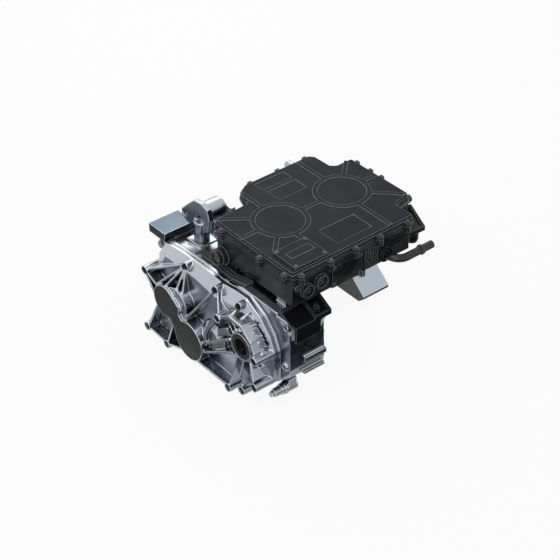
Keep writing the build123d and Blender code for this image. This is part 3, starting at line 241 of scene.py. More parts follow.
def start_material(name, metallic, roughness, specular=0.5):
    """A new material with its surface shader, and the object's own coordinates."""
    material = bpy.data.materials.new(name)
    material.use_nodes = True
    tree = material.node_tree
    shader = tree.nodes["Principled BSDF"]
    shader.inputs["Metallic"].default_value = metallic
    shader.inputs["Roughness"].default_value = roughness
    if metallic < 0.5:
        shader.inputs["Specular IOR Level"].default_value = specular
    return material, tree, shader, add(tree, "ShaderNodeTexCoord")


def per_metre(millimetres):
    """Pattern scale that repeats once in so many millimetres."""
    return 1 / (millimetres * MM)


def edge_highlight_and_wear_mask(tree, millimetres, sharpness=0.06):
    """One along edges, nought elsewhere: how far rounding them to this radius would turn the surface."""
    rounded = add(tree, "ShaderNodeBevel", {"Radius": millimetres * MM}, samples=6)
    flat = add(tree, "ShaderNodeNewGeometry")
    agreement = add(
        tree, "ShaderNodeVectorMath", links={0: rounded.outputs["Normal"], 1: flat.outputs["Normal"]},
        operation="DOT_PRODUCT",
    )
    return spread(tree, agreement.outputs["Value"], low=0.0, high=1.0, start=1.0, end=1 - sharpness)


def blend_colour(tree, factor, first, second):
    """Colour between two, each a socket or a value: the first where the factor is nought."""
    mix = add(tree, "ShaderNodeMix", links={"Factor": factor}, data_type="RGBA")
    for socket, source in ((mix.inputs[6], first), (mix.inputs[7], second)):
        if isinstance(source, bpy.types.NodeSocket):
            tree.links.new(source, socket)
        else:
            socket.default_value = rgba(source)
    return mix.outputs[2]


def grain(tree, where, millimetres, detail=2.0):
    """Cloudy pattern with lumps of so many millimetres."""
    values = {"Scale": per_metre(millimetres), "Detail": detail}
    return add(tree, "ShaderNodeTexNoise", values, {"Vector": where}).outputs["Fac"]


def spread(tree, value, low, high, start=0.3, end=0.7):
    """Value of a pattern spread between two levels."""
    span = {"From Min": start, "From Max": end, "To Min": low, "To Max": high}
    return add(tree, "ShaderNodeMapRange", span, {"Value": value}).outputs["Result"]


def lines(tree, where, millimetres, across, **values):
    """Straight lines that repeat once in about so many millimetres, across X or across a diagonal."""
    # the wave texture's own lines repeat in pi / 10 across X, and in pi / 5 of X, Y and Z added up
    period = math.pi / 10 if across == "X" else math.pi / 5 / math.sqrt(3)
    settings = {"Scale": period * per_metre(millimetres), **values}
    return add(
        tree, "ShaderNodeTexWave", settings, {"Vector": where}, bands_direction=across
    ).outputs["Fac"]


def relief(tree, shader, height, depth, strength=1.0):
    """Bump of so many millimetres on a shader."""
    values = {"Strength": strength, "Distance": depth * MM}
    bump = add(tree, "ShaderNodeBump", values, {"Height": height})
    tree.links.new(bump.outputs["Normal"], shader.inputs["Normal"])


def painted_shade_mask(tree, millimetres):
    """Painted shade: near one in corners and pockets, nought on open faces, looking so many millimetres
    around.
    """
    open_share = add(tree, "ShaderNodeAmbientOcclusion", {"Distance": millimetres * MM}, samples=6)
    return spread(tree, open_share.outputs["AO"], low=0.85, high=0.0, start=0.15, end=0.7)


def cast_aluminium(metals):
    """Die-cast aluminium with the dents of shot blasting: painted light makes faces lighter the more
    they face one way, painted highlight and wear make edges white, painted shade makes pockets dark, and
    a painted dark reflection covers flat forward faces.
    """
    material, tree, shader, where = start_material("die_cast_aluminium_blasted", 1.0, 0.3)
    spot = where.outputs["Object"]
    # shot leaves dents of about 0.3 mm, drawn at 1.1 mm so that they show
    dents = grain(tree, spot, 1.1)
    clouds = grain(tree, spot, 26, 4.0)
    # painted light: a face is drawn lighter the more its normal points along the direction above, with
    # random clouds mixed in
    painted_light_share = add(
        tree, "ShaderNodeVectorMath", {1: PAINTED_LIGHT_FROM}, {0: where.outputs["Normal"]},
        operation="DOT_PRODUCT",
    ).outputs["Value"]
    uneven = add(tree, "ShaderNodeMath", {1: 0.3, 2: -0.15}, {0: clouds}, operation="MULTIPLY_ADD")
    painted_light_share = add(tree, "ShaderNodeMath", links={0: painted_light_share, 1: uneven.outputs[0]}, operation="ADD").outputs[0]
    painted_lit_share = spread(tree, painted_light_share, low=0.0, high=1.0, start=0.05, end=0.95)
    base = blend_colour(tree, painted_lit_share, metals.cast, metals.cast_painted_light)
    # painted shade darkens the corners and pockets
    base = blend_colour(tree, painted_shade_mask(tree, 20), base, metals.painted_shade_and_sheet_gap)
    # painted highlight, partly wear: edges are drawn near white
    base = blend_colour(tree, edge_highlight_and_wear_mask(tree, 2.2), base, metals.pale_metal_and_edge_highlight)
    # painted dark reflection: flat end faces of the bearing drums and screw bosses that face forward are
    # drawn dark, not metallic and rougher
    facing = add(tree, "ShaderNodeSeparateXYZ", links={"Vector": where.outputs["Normal"]})
    position = add(tree, "ShaderNodeSeparateXYZ", links={"Vector": spot})
    flat = add(
        tree, "ShaderNodeMath", {1: FACING_FORWARD}, {0: facing.outputs["X"]}, operation="LESS_THAN"
    )
    front = add(
        tree, "ShaderNodeMath", {1: DARK_REFLECTION_END * MM}, {0: position.outputs["X"]}, operation="LESS_THAN"
    )
    painted_reflection_share = add(
        tree, "ShaderNodeMath", links={0: flat.outputs[0], 1: front.outputs[0]}, operation="MULTIPLY"
    ).outputs[0]
    base = blend_colour(tree, painted_reflection_share, base, metals.forward_face_painted_reflection)
    tree.links.new(base, shader.inputs["Base Color"])
    # metallic everywhere but on the painted dark reflection
    bare = add(tree, "ShaderNodeMath", {0: 1.0}, {1: painted_reflection_share}, operation="SUBTRACT").outputs[0]
    tree.links.new(bare, shader.inputs["Metallic"])
    rough = add(
        tree, "ShaderNodeMath", {1: 0.35}, {0: painted_reflection_share, 2: spread(tree, clouds, 0.16, 0.28)},
        operation="MULTIPLY_ADD",
    )
    tree.links.new(rough.outputs[0], shader.inputs["Roughness"])
    relief(tree, shader, dents, 0.03, 0.5)
    return material


def machined_aluminium(metals):
    """Milled aluminium: brighter than the casting, with fine tool lines across it."""
    material, tree, shader, where = start_material("aluminium_milled", 1.0, 0.28)
    # the cutter's lines are about 0.2 mm apart, drawn at 2.3 mm so that they show
    cuts = lines(tree, where.outputs["Object"], 2.3, "DIAGONAL", Distortion=0.4, Detail=1.0)
    clouds = grain(tree, where.outputs["Object"], 30, 3.0)
    # painted shade darkens the pockets
    base = blend_colour(tree, painted_shade_mask(tree, 16), metals.machined, metals.painted_shade_and_sheet_gap)
    # painted highlight, partly wear: edges are drawn near white
    base = blend_colour(tree, edge_highlight_and_wear_mask(tree, 1.0), base, metals.pale_metal_and_edge_highlight)
    tree.links.new(base, shader.inputs["Base Color"])
    tree.links.new(spread(tree, clouds, 0.24, 0.36), shader.inputs["Roughness"])
    relief(tree, shader, cuts, 0.02, 0.4)
    return material


def half_coated_aluminium(name, bare_value, coat_value, edge_highlight_and_wear_value):
    """Bracket dipped in black coat and milled bare on its upper faces: black sides, pale top."""
    material, tree, shader, where = start_material(name, 1.0, 0.28)
    facing = add(tree, "ShaderNodeSeparateXYZ", links={"Vector": where.outputs["Normal"]})
    bare = spread(tree, facing.outputs["Z"], low=0.0, high=1.0, start=0.3, end=0.4)
    clouds = grain(tree, where.outputs["Object"], 60, 2.0)
    base = blend_colour(tree, bare, coat_value, bare_value)
    # painted highlight, partly wear: edges are drawn pale
    base = blend_colour(tree, edge_highlight_and_wear_mask(tree, 1.1), base, edge_highlight_and_wear_value)
    tree.links.new(base, shader.inputs["Base Color"])
    tree.links.new(bare, shader.inputs["Metallic"])
    tree.links.new(spread(tree, clouds, 0.22, 0.36), shader.inputs["Roughness"])
    # the cutter's marks are about 0.2 mm wide, drawn at 1.2 mm so that they show
    relief(tree, shader, grain(tree, where.outputs["Object"], 1.2), 0.02, 0.4)
    return material


def screw_steel(name, base_value, cloud_and_sheen_value):
    """Rolled screw steel under zinc or black oxide: one tone with a faint cloudy sheen."""
    material, tree, shader, where = start_material(name, 1.0, 0.3)
    clouds = grain(tree, where.outputs["Object"], 4, 3.0)
    base = blend_colour(tree, spread(tree, clouds, 0.0, 0.6), base_value, cloud_and_sheen_value)
    tree.links.new(base, shader.inputs["Base Color"])
    tree.links.new(spread(tree, clouds, 0.22, 0.42), shader.inputs["Roughness"])
    # the plating's grain is far below 0.1 mm, drawn at 0.8 mm so that it shows
    relief(tree, shader, grain(tree, where.outputs["Object"], 0.8), 0.02, 0.4)
    return material


def ground_steel(metals):
    """Case-hardened gear steel with ground teeth: cool grey, with fine grinding lines."""
    material, tree, shader, where = start_material("gear_steel_ground", 1.0, 0.24)
    # grinding lines are about 0.1 mm apart, drawn at 1.6 mm so that they show
    scratches = lines(tree, where.outputs["Object"], 1.6, "X", Distortion=1.0)
    clouds = grain(tree, where.outputs["Object"], 14, 3.0)
    base = blend_colour(tree, spread(tree, clouds, 0.0, 0.3), metals.ground_steel, metals.cast_iron)
    # painted highlight, partly wear: edges are drawn pale
    base = blend_colour(tree, edge_highlight_and_wear_mask(tree, 0.6), base, metals.pale_metal_and_edge_highlight)
    tree.links.new(base, shader.inputs["Base Color"])
    roughness = spread(tree, scratches, low=0.18, high=0.3, start=0.0, end=1.0)
    tree.links.new(roughness, shader.inputs["Roughness"])
    relief(tree, shader, scratches, 0.01, 0.3)
    return material


def polished_steel(metals):
    """Bearing steel, lapped: near mirror, with faint smears of oil."""
    material, tree, shader, where = start_material("bearing_steel_lapped", 1.0, 0.1)
    smears = grain(tree, where.outputs["Object"], 5, 4.0)
    base = blend_colour(tree, spread(tree, smears, 0.0, 0.2), metals.bearing_steel, metals.cast_iron)
    tree.links.new(base, shader.inputs["Base Color"])
    tree.links.new(spread(tree, smears, 0.07, 0.16), shader.inputs["Roughness"])
    return material


def cast_iron(metals):
    """Nodular iron, sand cast: dark and coarse, lighter along its edges, which is a painted edge
    highlight and partly turned metal.
    """
    material, tree, shader, where = start_material("nodular_iron_sand_cast", 1.0, 0.5)
    # the sand's grain is about 0.5 mm, drawn at 1.4 mm so that it shows
    sand = grain(tree, where.outputs["Object"], 1.4)
    base = blend_colour(tree, edge_highlight_and_wear_mask(tree, 0.8), metals.cast_iron, metals.ground_steel)
    tree.links.new(base, shader.inputs["Base Color"])
    tree.links.new(spread(tree, sand, 0.42, 0.6), shader.inputs["Roughness"])
    relief(tree, shader, sand, 0.15)
    return material


def stacked_sheet(metals):
    """Electrical steel sheets stacked along X: fine lines across the core, blued by annealing."""
    material, tree, shader, where = start_material("electrical_steel_stacked", 1.0, 0.4)
    # sheets are 0.3 mm thick, drawn at 3 mm so that the stack shows
    sheets = lines(tree, where.outputs["Object"], 3.0, "X")
    base = blend_colour(tree, sheets, metals.painted_shade_and_sheet_gap, metals.core_sheet)
    tree.links.new(base, shader.inputs["Base Color"])
    roughness = spread(tree, sheets, low=0.3, high=0.5, start=0.0, end=1.0)
    tree.links.new(roughness, shader.inputs["Roughness"])
    relief(tree, shader, sheets, 0.12)
    return material


def enamelled_copper(metals):
    """Copper wire wound and dipped in enamel: warm, glossy, with the strands showing."""
    material, tree, shader, where = start_material("copper_wire_enamelled", 1.0, 0.25)
    # the wire is 1.2 mm thick, drawn at 4.6 mm so that its strands show
    strands = lines(tree, where.outputs["Object"], 4.6, "DIAGONAL", Distortion=2.0, Detail=2.0)
    shaded = spread(tree, strands, low=0.0, high=0.55, start=0.0, end=1.0)
    base = blend_colour(tree, shaded, metals.enamelled_copper, metals.cast_iron)
    tree.links.new(base, shader.inputs["Base Color"])
    shader.inputs["Coat Weight"].default_value = 0.6
    shader.inputs["Coat Roughness"].default_value = 0.15
    relief(tree, shader, strands, 0.3)
    return material


def nickel_plate(metals):
    """Sintered or turned metal under nickel: warm grey, softly mottled."""
    material, tree, shader, where = start_material("nickel_plated", 1.0, 0.25)
    mottle = grain(tree, where.outputs["Object"], 3, 3.0)
    base = blend_colour(tree, spread(tree, mottle, 0.0, 0.4), metals.nickel, metals.pale_metal_and_edge_highlight)
    tree.links.new(base, shader.inputs["Base Color"])
    tree.links.new(spread(tree, mottle, 0.18, 0.34), shader.inputs["Roughness"])
    return material


def powder_coat(name, base_value, cloud_and_sheen_value, edge_highlight_and_wear_value, *, roughness, edge_radius, peel, gloss):
    """Coat baked on aluminium or steel: cloudy, with orange peel, and paler along its edges, a painted
    highlight and partly worn coat.
    """
    material, tree, shader, where = start_material(name, 0.0, roughness, gloss)
    skin = grain(tree, where.outputs["Object"], peel, 2.0)
    clouds_and_sheen = grain(tree, where.outputs["Object"], 55, 3.0)
    cloudy = spread(tree, clouds_and_sheen, low=0.0, high=0.6, start=0.42, end=0.68)
    # paler clouds: random tone on the lid, and on the black case a painted sheen that stands for mottled
    # reflections
    base = blend_colour(tree, cloudy, base_value, cloud_and_sheen_value)
    base = blend_colour(tree, edge_highlight_and_wear_mask(tree, edge_radius), base, edge_highlight_and_wear_value)
    tree.links.new(base, shader.inputs["Base Color"])
    tree.links.new(spread(tree, clouds_and_sheen, roughness - 0.05, roughness + 0.07), shader.inputs["Roughness"])
    # the peel's waves are about 0.04 mm deep
    relief(tree, shader, skin, 0.04, 0.5)
    return material


def moulded(name, base_value, edge_highlight_and_wear_value, *, roughness, texture, depth):
    """Moulded plastic or rubber: dark, with the mould's fine texture, its grain given in millimetres."""
    material, tree, shader, where = start_material(name, 0.0, roughness)
    spark = grain(tree, where.outputs["Object"], texture, 2.0)
    marks = grain(tree, where.outputs["Object"], 18, 4.0)
    paler = tuple(min(1, share * 1.6 + 0.006) for share in base_value)
    base = blend_colour(tree, spread(tree, marks, 0.0, 0.6), base_value, paler)
    # painted highlight, partly wear: edges are drawn pale
    base = blend_colour(tree, edge_highlight_and_wear_mask(tree, 0.8), base, edge_highlight_and_wear_value)
    tree.links.new(base, shader.inputs["Base Color"])
    tree.links.new(spread(tree, marks, roughness - 0.06, roughness + 0.08), shader.inputs["Roughness"])
    relief(tree, shader, spark, depth, 0.6)
    return material


def circuit_board(coats):
    """Glass-epoxy board under solder mask: green, with paler copper tracks beneath it."""
    material, tree, shader, where = start_material("glass_epoxy_board", 0.0, 0.35)
    # tracks run in fields of about 12 by 6 mm
    paler = tuple(share * 1.9 for share in coats.board)
    settings = {
        "Scale": per_metre(24), "Mortar Size": 0.04,
        "Color1": rgba(coats.board), "Color2": rgba(coats.board), "Mortar": rgba(paler),
    }
    tracks = add(tree, "ShaderNodeTexBrick", settings, {"Vector": where.outputs["Object"]})
    tree.links.new(tracks.outputs["Color"], shader.inputs["Base Color"])
    shader.inputs["Coat Weight"].default_value = 0.4
    relief(tree, shader, tracks.outputs["Fac"], 0.05)
    return material


# Shapes


def dress(names, material):
    """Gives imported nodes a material."""
    for name in names:
        mesh = nodes[name].data
        mesh.materials.clear()
        mesh.materials.append(material)


def place(name, mesh, material, body, smooth=True):
    """Links a finished mesh as a piece that rides on a body."""
    mesh.materials.clear()
    mesh.materials.append(material)
    for face in mesh.polygons:
        face.use_smooth = smooth
    piece = bpy.data.objects.new(name, mesh)
    bpy.context.scene.collection.objects.link(piece)
    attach(piece, body)
    return piece


def cast_skin(name, material, body, sizes):
    """A casting's surface with filleted corners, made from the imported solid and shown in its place."""
    mesh = nodes[name].data.copy()
    mesh.name = f"{name}_skin"
    shape = bmesh.new()
    shape.from_mesh(mesh)
    bmesh.ops.remove_doubles(shape, verts=shape.verts, dist=0.01 * MM)
    shape.to_mesh(mesh)
    shape.free()
    if "custom_normal" in mesh.attributes:
        mesh.attributes.remove(mesh.attributes["custom_normal"])
    piece = place(f"{name}_skin", mesh, material, body)
    remesh = piece.modifiers.new("skin", "REMESH")
    remesh.mode = "VOXEL"
    remesh.voxel_size = sizes.skin_step
    remesh.use_smooth_shade = True
    soften = piece.modifiers.new("fillets", "SMOOTH")
    soften.factor = 0.5
    soften.iterations = sizes.skin_rounds
    thin = piece.modifiers.new("fewer faces", "DECIMATE")
    thin.ratio = sizes.skin_faces
    graph = bpy.context.evaluated_depsgraph_get()
    final = bpy.data.meshes.new_from_object(piece.evaluated_get(graph))
    piece.modifiers.clear()
    piece.data = final
    for face in final.polygons:
        face.use_smooth = True
    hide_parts(name)
    return piece


def turned(profile, origin, direction, sides=40):
    """Mesh turned from a profile of (radius, height) points in millimetres about an axis."""
    shape = bmesh.new()
    turns = [2 * math.pi * step / sides for step in range(sides)]
    rings = []
    for radius, height in profile:
        if radius == 0:
            rings.append([shape.verts.new((0, 0, height * MM))])
            continue
        ring = [(radius * math.cos(turn), radius * math.sin(turn), height) for turn in turns]
        rings.append([shape.verts.new((x * MM, y * MM, z * MM)) for x, y, z in ring])
    for lower, upper in zip(rings, rings[1:]):
        for step in range(sides):
            after = (step + 1) % sides
            corners = [
                lower[step % len(lower)], lower[after % len(lower)],
                upper[after % len(upper)], upper[step % len(upper)],
            ]
            # beside a point on the axis, two corners are one and the face has three
            shape.faces.new(list(dict.fromkeys(corners)))
    bmesh.ops.recalc_face_normals(shape, faces=shape.faces)
    aim = Vector((0, 0, 1)).rotation_difference(Vector(direction)).to_matrix().to_4x4()
    where = Matrix.Translation(Vector([value * MM for value in origin])) @ aim
    bmesh.ops.transform(shape, matrix=where, verts=shape.verts)
    mesh = bpy.data.meshes.new("turned")
    shape.to_mesh(mesh)
    shape.free()
    return mesh


def drawn_out(points, x_start, x_end, rounding):
    """Mesh of an outline of (y, z) corners in millimetres drawn out along X, with rounded edges."""
    shape = bmesh.new()
    ends = []
    for x in (x_start, x_end):
        ends.append([shape.verts.new((x * MM, y * MM, z * MM)) for y, z in points])
    shape.faces.new(ends[0])
    shape.faces.new(list(reversed(ends[1])))
    for step in range(len(points)):
        after = (step + 1) % len(points)
        shape.faces.new([ends[0][after], ends[0][step], ends[1][step], ends[1][after]])
    bmesh.ops.recalc_face_normals(shape, faces=shape.faces)
    bmesh.ops.bevel(
        shape, geom=list(shape.edges), offset=rounding * MM, segments=2, profile=0.5, affect="EDGES",
        clamp_overlap=True,
    )
    mesh = bpy.data.meshes.new("drawn out")
    shape.to_mesh(mesh)
    shape.free()
    return mesh


def place_joined(name, meshes, material, body, smooth=True):
    """Links several meshes as one piece."""
    shape = bmesh.new()
    for mesh in meshes:
        shape.from_mesh(mesh)
        bpy.data.meshes.remove(mesh)
    joined = bpy.data.meshes.new(name)
    shape.to_mesh(joined)
    shape.free()
    return place(name, joined, material, body, smooth)


# filled by the first operator and used by the others
MATERIALS = {}


class DRIVEUNIT_OT_materials(bpy.types.Operator):
    """Make the drive unit's metals, coats, rubbers and plastics"""

    bl_idname = "driveunit.materials"
    bl_label = "Make materials"

    def execute(self, context):
        metals = context.scene.drive_unit_metals
        coats = context.scene.drive_unit_coats
        MATERIALS.update({
            "cast": cast_aluminium(metals),
            "machined": machined_aluminium(metals),
            "foot": half_coated_aluminium(
                "aluminium_coated_and_milled", metals.machined, coats.bracket, metals.pale_metal_and_edge_highlight
            ),
            "mount": half_coated_aluminium(
                "aluminium_coated_and_anodised", metals.anodised, coats.bracket, metals.pale_metal_and_edge_highlight
            ),
            "zinc": screw_steel("screw_steel_zinc_plated", metals.zinc, metals.pale_metal_and_edge_highlight),
            "oxide": screw_steel("screw_steel_black_oxide", metals.oxide, metals.cast_iron),
            "gear": ground_steel(metals),
            "bearing": polished_steel(metals),
            "iron": cast_iron(metals),
            "core": stacked_sheet(metals),
            "copper": enamelled_copper(metals),
            "nickel": nickel_plate(metals),
            # matt, so that the lid's pressed beads show by their paler edges, a painted highlight and
            # partly worn coat, more than by shine
            "lid": powder_coat(
                "powder_coat_blue_grey", coats.lid, coats.lid_cloud, coats.lid_edge_highlight_and_wear,
                roughness=0.5, edge_radius=1.1, peel=1.4, gloss=0.12,
            ),
            # satin, so that the case's walls take broad soft highlights
            "case": powder_coat(
                "electro_dip_black", coats.case, coats.case_sheen_and_edge_highlight, coats.case_edge_highlight_and_wear,
                roughness=0.28, edge_radius=1.1, peel=2.0, gloss=0.35,
            ),
            "bracket": powder_coat(
                "steel_black_coated", coats.bracket, coats.bracket, coats.case_edge_highlight_and_wear,
                roughness=0.3, edge_radius=1.1, peel=1.6, gloss=0.15,
            ),
            "nylon": moulded(
                "nylon_glass_filled_moulded", coats.nylon, coats.lid_edge_highlight_and_wear,
                roughness=0.38, texture=1.0, depth=0.04,
            ),
            # smooth from the die, so that the hose has one long highlight
            "hose": moulded(
                "hose_rubber_extruded", coats.hose, coats.case_edge_highlight_and_wear,
                roughness=0.22, texture=1.5, depth=0.03,
            ),
            "seal": moulded(
                "nitrile_rubber_moulded", coats.seal, coats.case_sheen_and_edge_highlight,
                roughness=0.55, texture=1.2, depth=0.03,
            ),
            "resin": moulded(
                "epoxy_resin_moulded", coats.resin, coats.case_sheen_and_edge_highlight,
                roughness=0.45, texture=1.4, depth=0.04,
            ),
            "board": circuit_board(coats),
        })
        return {"FINISHED"}


class DRIVEUNIT_OT_castings(bpy.types.Operator):
    """Give the castings their filleted skins"""

    bl_idname = "driveunit.castings"
    bl_label = "Skin castings"

    def execute(self, context):
        sizes = context.scene.drive_unit_sizes
        for name in ("gear_cover", "gear_case", "actuator_housing"):
            cast_skin(name, MATERIALS["cast"], "unit", sizes)
        dress(("motor_housing", "motor_rear_cover", "oil_pump"), MATERIALS["cast"])
        dress(("actuator_cap", "coolant_outlet", "rotor_end_plates"), MATERIALS["machined"])
        dress(["rear_foot_bracket"], MATERIALS["foot"])
        dress(["left_mount_bracket"], MATERIALS["mount"])
        dress(("unit_bolts", "oil_fill_plug"), MATERIALS["zinc"])
        dress(["cover_bolts"], MATERIALS["oxide"])
        return {"FINISHED"}


class DRIVEUNIT_OT_drive_train(bpy.types.Operator):
    """Dress the gears, shafts, bearings, differential and parking lock"""

    bl_idname = "driveunit.drive_train"
    bl_label = "Dress drive train"

    def execute(self, context):
        dress(
            ("input_pinion", "intermediate_gear", "intermediate_pinion", "intermediate_shaft",
             "rotor_shaft", "ring_gear", "cross_pin", "side_gear_left", "side_gear_right",
             "spider_gear_front", "spider_gear_rear", "park_gear", "park_pawl", "park_pawl_pin",
             "park_shaft"),
            MATERIALS["gear"],
        )
        dress(["differential_carrier"], MATERIALS["iron"])
        dress([name for name in nodes if "bearing" in name], MATERIALS["bearing"])
        dress(["output_seals"], MATERIALS["seal"])
        return {"FINISHED"}


class DRIVEUNIT_OT_motor(bpy.types.Operator):
    """Dress the stator, windings, magnets and resolver"""

    bl_idname = "driveunit.motor"
    bl_label = "Dress motor"

    def execute(self, context):
        dress(("stator_core", "rotor_core", "resolver_rotor", "resolver_stator"), MATERIALS["core"])
        dress(("stator_winding", "phase_busbars"), MATERIALS["copper"])
        dress(["rotor_magnets"], MATERIALS["nickel"])
        return {"FINISHED"}


class DRIVEUNIT_OT_inverter(bpy.types.Operator):
    """Coat the inverter's case and lid, and dress its inside"""

    bl_idname = "driveunit.inverter"
    bl_label = "Coat inverter"

    def execute(self, context):
        dress(["inverter_lid", "service_cover"], MATERIALS["lid"])
        dress(["inverter_case", "side_panel", "inverter_screws"], MATERIALS["case"])
        dress(["front_bracket", "right_bracket"], MATERIALS["bracket"])
        dress(["hv_sockets", "lv_connector", "signal_connectors"], MATERIALS["nylon"])
        dress(["coolant_pipe"], MATERIALS["hose"])
        dress(["lid_gasket"], MATERIALS["seal"])
        dress(["power_module", "dc_capacitor"], MATERIALS["resin"])
        dress(["control_board"], MATERIALS["board"])
        return {"FINISHED"}


class DRIVEUNIT_OT_contacts(bpy.types.Operator):
    """Put insulating cores, contact guards and pins into the cable sockets"""

    bl_idname = "driveunit.contacts"
    bl_label = "Fit contacts"

    def execute(self, context):
        sizes = context.scene.drive_unit_sizes
        cores = []
        # a profile's heights count from the wall that the socket stands on
        for x, z in SOCKETS:
            cores += self.high_voltage_core(sizes, (x, SOCKET_FACE, z))
        plug_radius = 10.4
        plug_depth = 13.6
        rim = 0.6
        cores.append(turned(
            [(0, 0.2), (plug_radius, 0.2), (plug_radius, plug_depth - rim),
             (plug_radius - rim, plug_depth), (0, plug_depth)],
            PLUG_FACE, (-1, 0, 0),
        ))
        pins = []
        tip = sizes.signal_pin / MM
        # the pins stand in two rings: their number, and the ring's radius
        for count, radius in ((6, 3.6), (12, 7.6)):
            for step in range(count):
                angle = 2 * math.pi * (step + 0.5) / count
                y = PLUG_FACE[1] + radius * math.cos(angle)
                z = PLUG_FACE[2] + radius * math.sin(angle)
                pins.append(turned(
                    [(0, 0), (tip, 0), (tip, 5.4), (tip * 0.6, 6.2), (0, 6.3)],
                    (PLUG_FACE[0] - plug_depth, y, z), (-1, 0, 0), 10,
                ))
        place_joined("socket_cores", cores, MATERIALS["nylon"], "unit")
        place_joined("socket_pins", pins, MATERIALS["nickel"], "unit")
        return {"FINISHED"}

    def high_voltage_core(self, sizes, centre):
        """Core of one high-voltage socket, with the black guard that keeps fingers off its contact."""
        core = sizes.core_radius / MM
        guard = sizes.guard_radius / MM
        well = guard + 1.4
        floor = 1.4
        mouth = 6.2
        rim = 0.8
        return [
            turned(
                [(0, 0.2), (core, 0.2), (core, mouth - rim), (core - rim, mouth), (well + rim, mouth),
                 (well, mouth - rim), (well, floor), (0, floor)],
                centre, (0, -1, 0),
            ),
            turned(
                [(0, floor), (guard, floor), (guard, 4), (guard - rim, mouth - rim), (0, 5.6)],
                centre, (0, -1, 0), 24,
            ),
        ]


class DRIVEUNIT_OT_duct(bpy.types.Operator):
    """Lay the black cable duct behind the gear cover's flange"""

    bl_idname = "driveunit.duct"
    bl_label = "Lay cable duct"

    def execute(self, context):
        wall = context.scene.drive_unit_sizes.duct_wall / MM
        rail_height = 3.5
        rail_width = 3
        rounding = 0.6
        start, end = DUCT_SPAN
        under = list(DUCT_ROUTE)
        over = [(y, z + wall) for y, z in reversed(under)]
        meshes = [drawn_out(under + over, start, end, rounding)]
        # two rails at the sides and one between them, let into the duct by 0.4 mm
        foot = [(y, z + wall - 0.4) for y, z in under]
        crest = [(y, z + wall + rail_height) for y, z in reversed(under)]
        for x in (start, (start + end - rail_width) / 2, end - rail_width):
            meshes.append(drawn_out(foot + crest, x, x + rail_width, rounding))
        place_joined("cable_duct", meshes, MATERIALS["nylon"], "unit", False)
        return {"FINISHED"}


class DRIVEUNIT_OT_bar_cap(bpy.types.Operator):
    """Set the humped aluminium cap over the three bars that run from the motor to the inverter"""

    bl_idname = "driveunit.bar_cap"
    bl_label = "Cap the bars"

    def execute(self, context):
        low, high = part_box("phase_busbars")
        wall = context.scene.drive_unit_sizes.cap_wall / MM
        start = low.y / MM - wall
        end = high.y / MM + wall
        top = high.z / MM + wall
        shoulder = 4
        drop = 9
        dip_top = 4.5
        dip_floor = 1.5
        dip_depth = 13
        outline = [(start, CASE_FLOOR), (end, CASE_FLOOR), (end, top - drop), (end - shoulder, top)]
        # the cap dips between the bars
        first_dip = start + 20
        for middle in (first_dip + BAR_PITCH, first_dip):
            outline += [
                (middle + dip_top, top), (middle + dip_floor, top - dip_depth),
                (middle - dip_floor, top - dip_depth), (middle - dip_top, top),
            ]
        outline += [(start + shoulder, top), (start, top - drop)]
        mesh = drawn_out(outline, low.x / MM - wall, high.x / MM + wall, 0.8)
        place("bar_cap", mesh, MATERIALS["machined"], "unit", False)
        return {"FINISHED"}


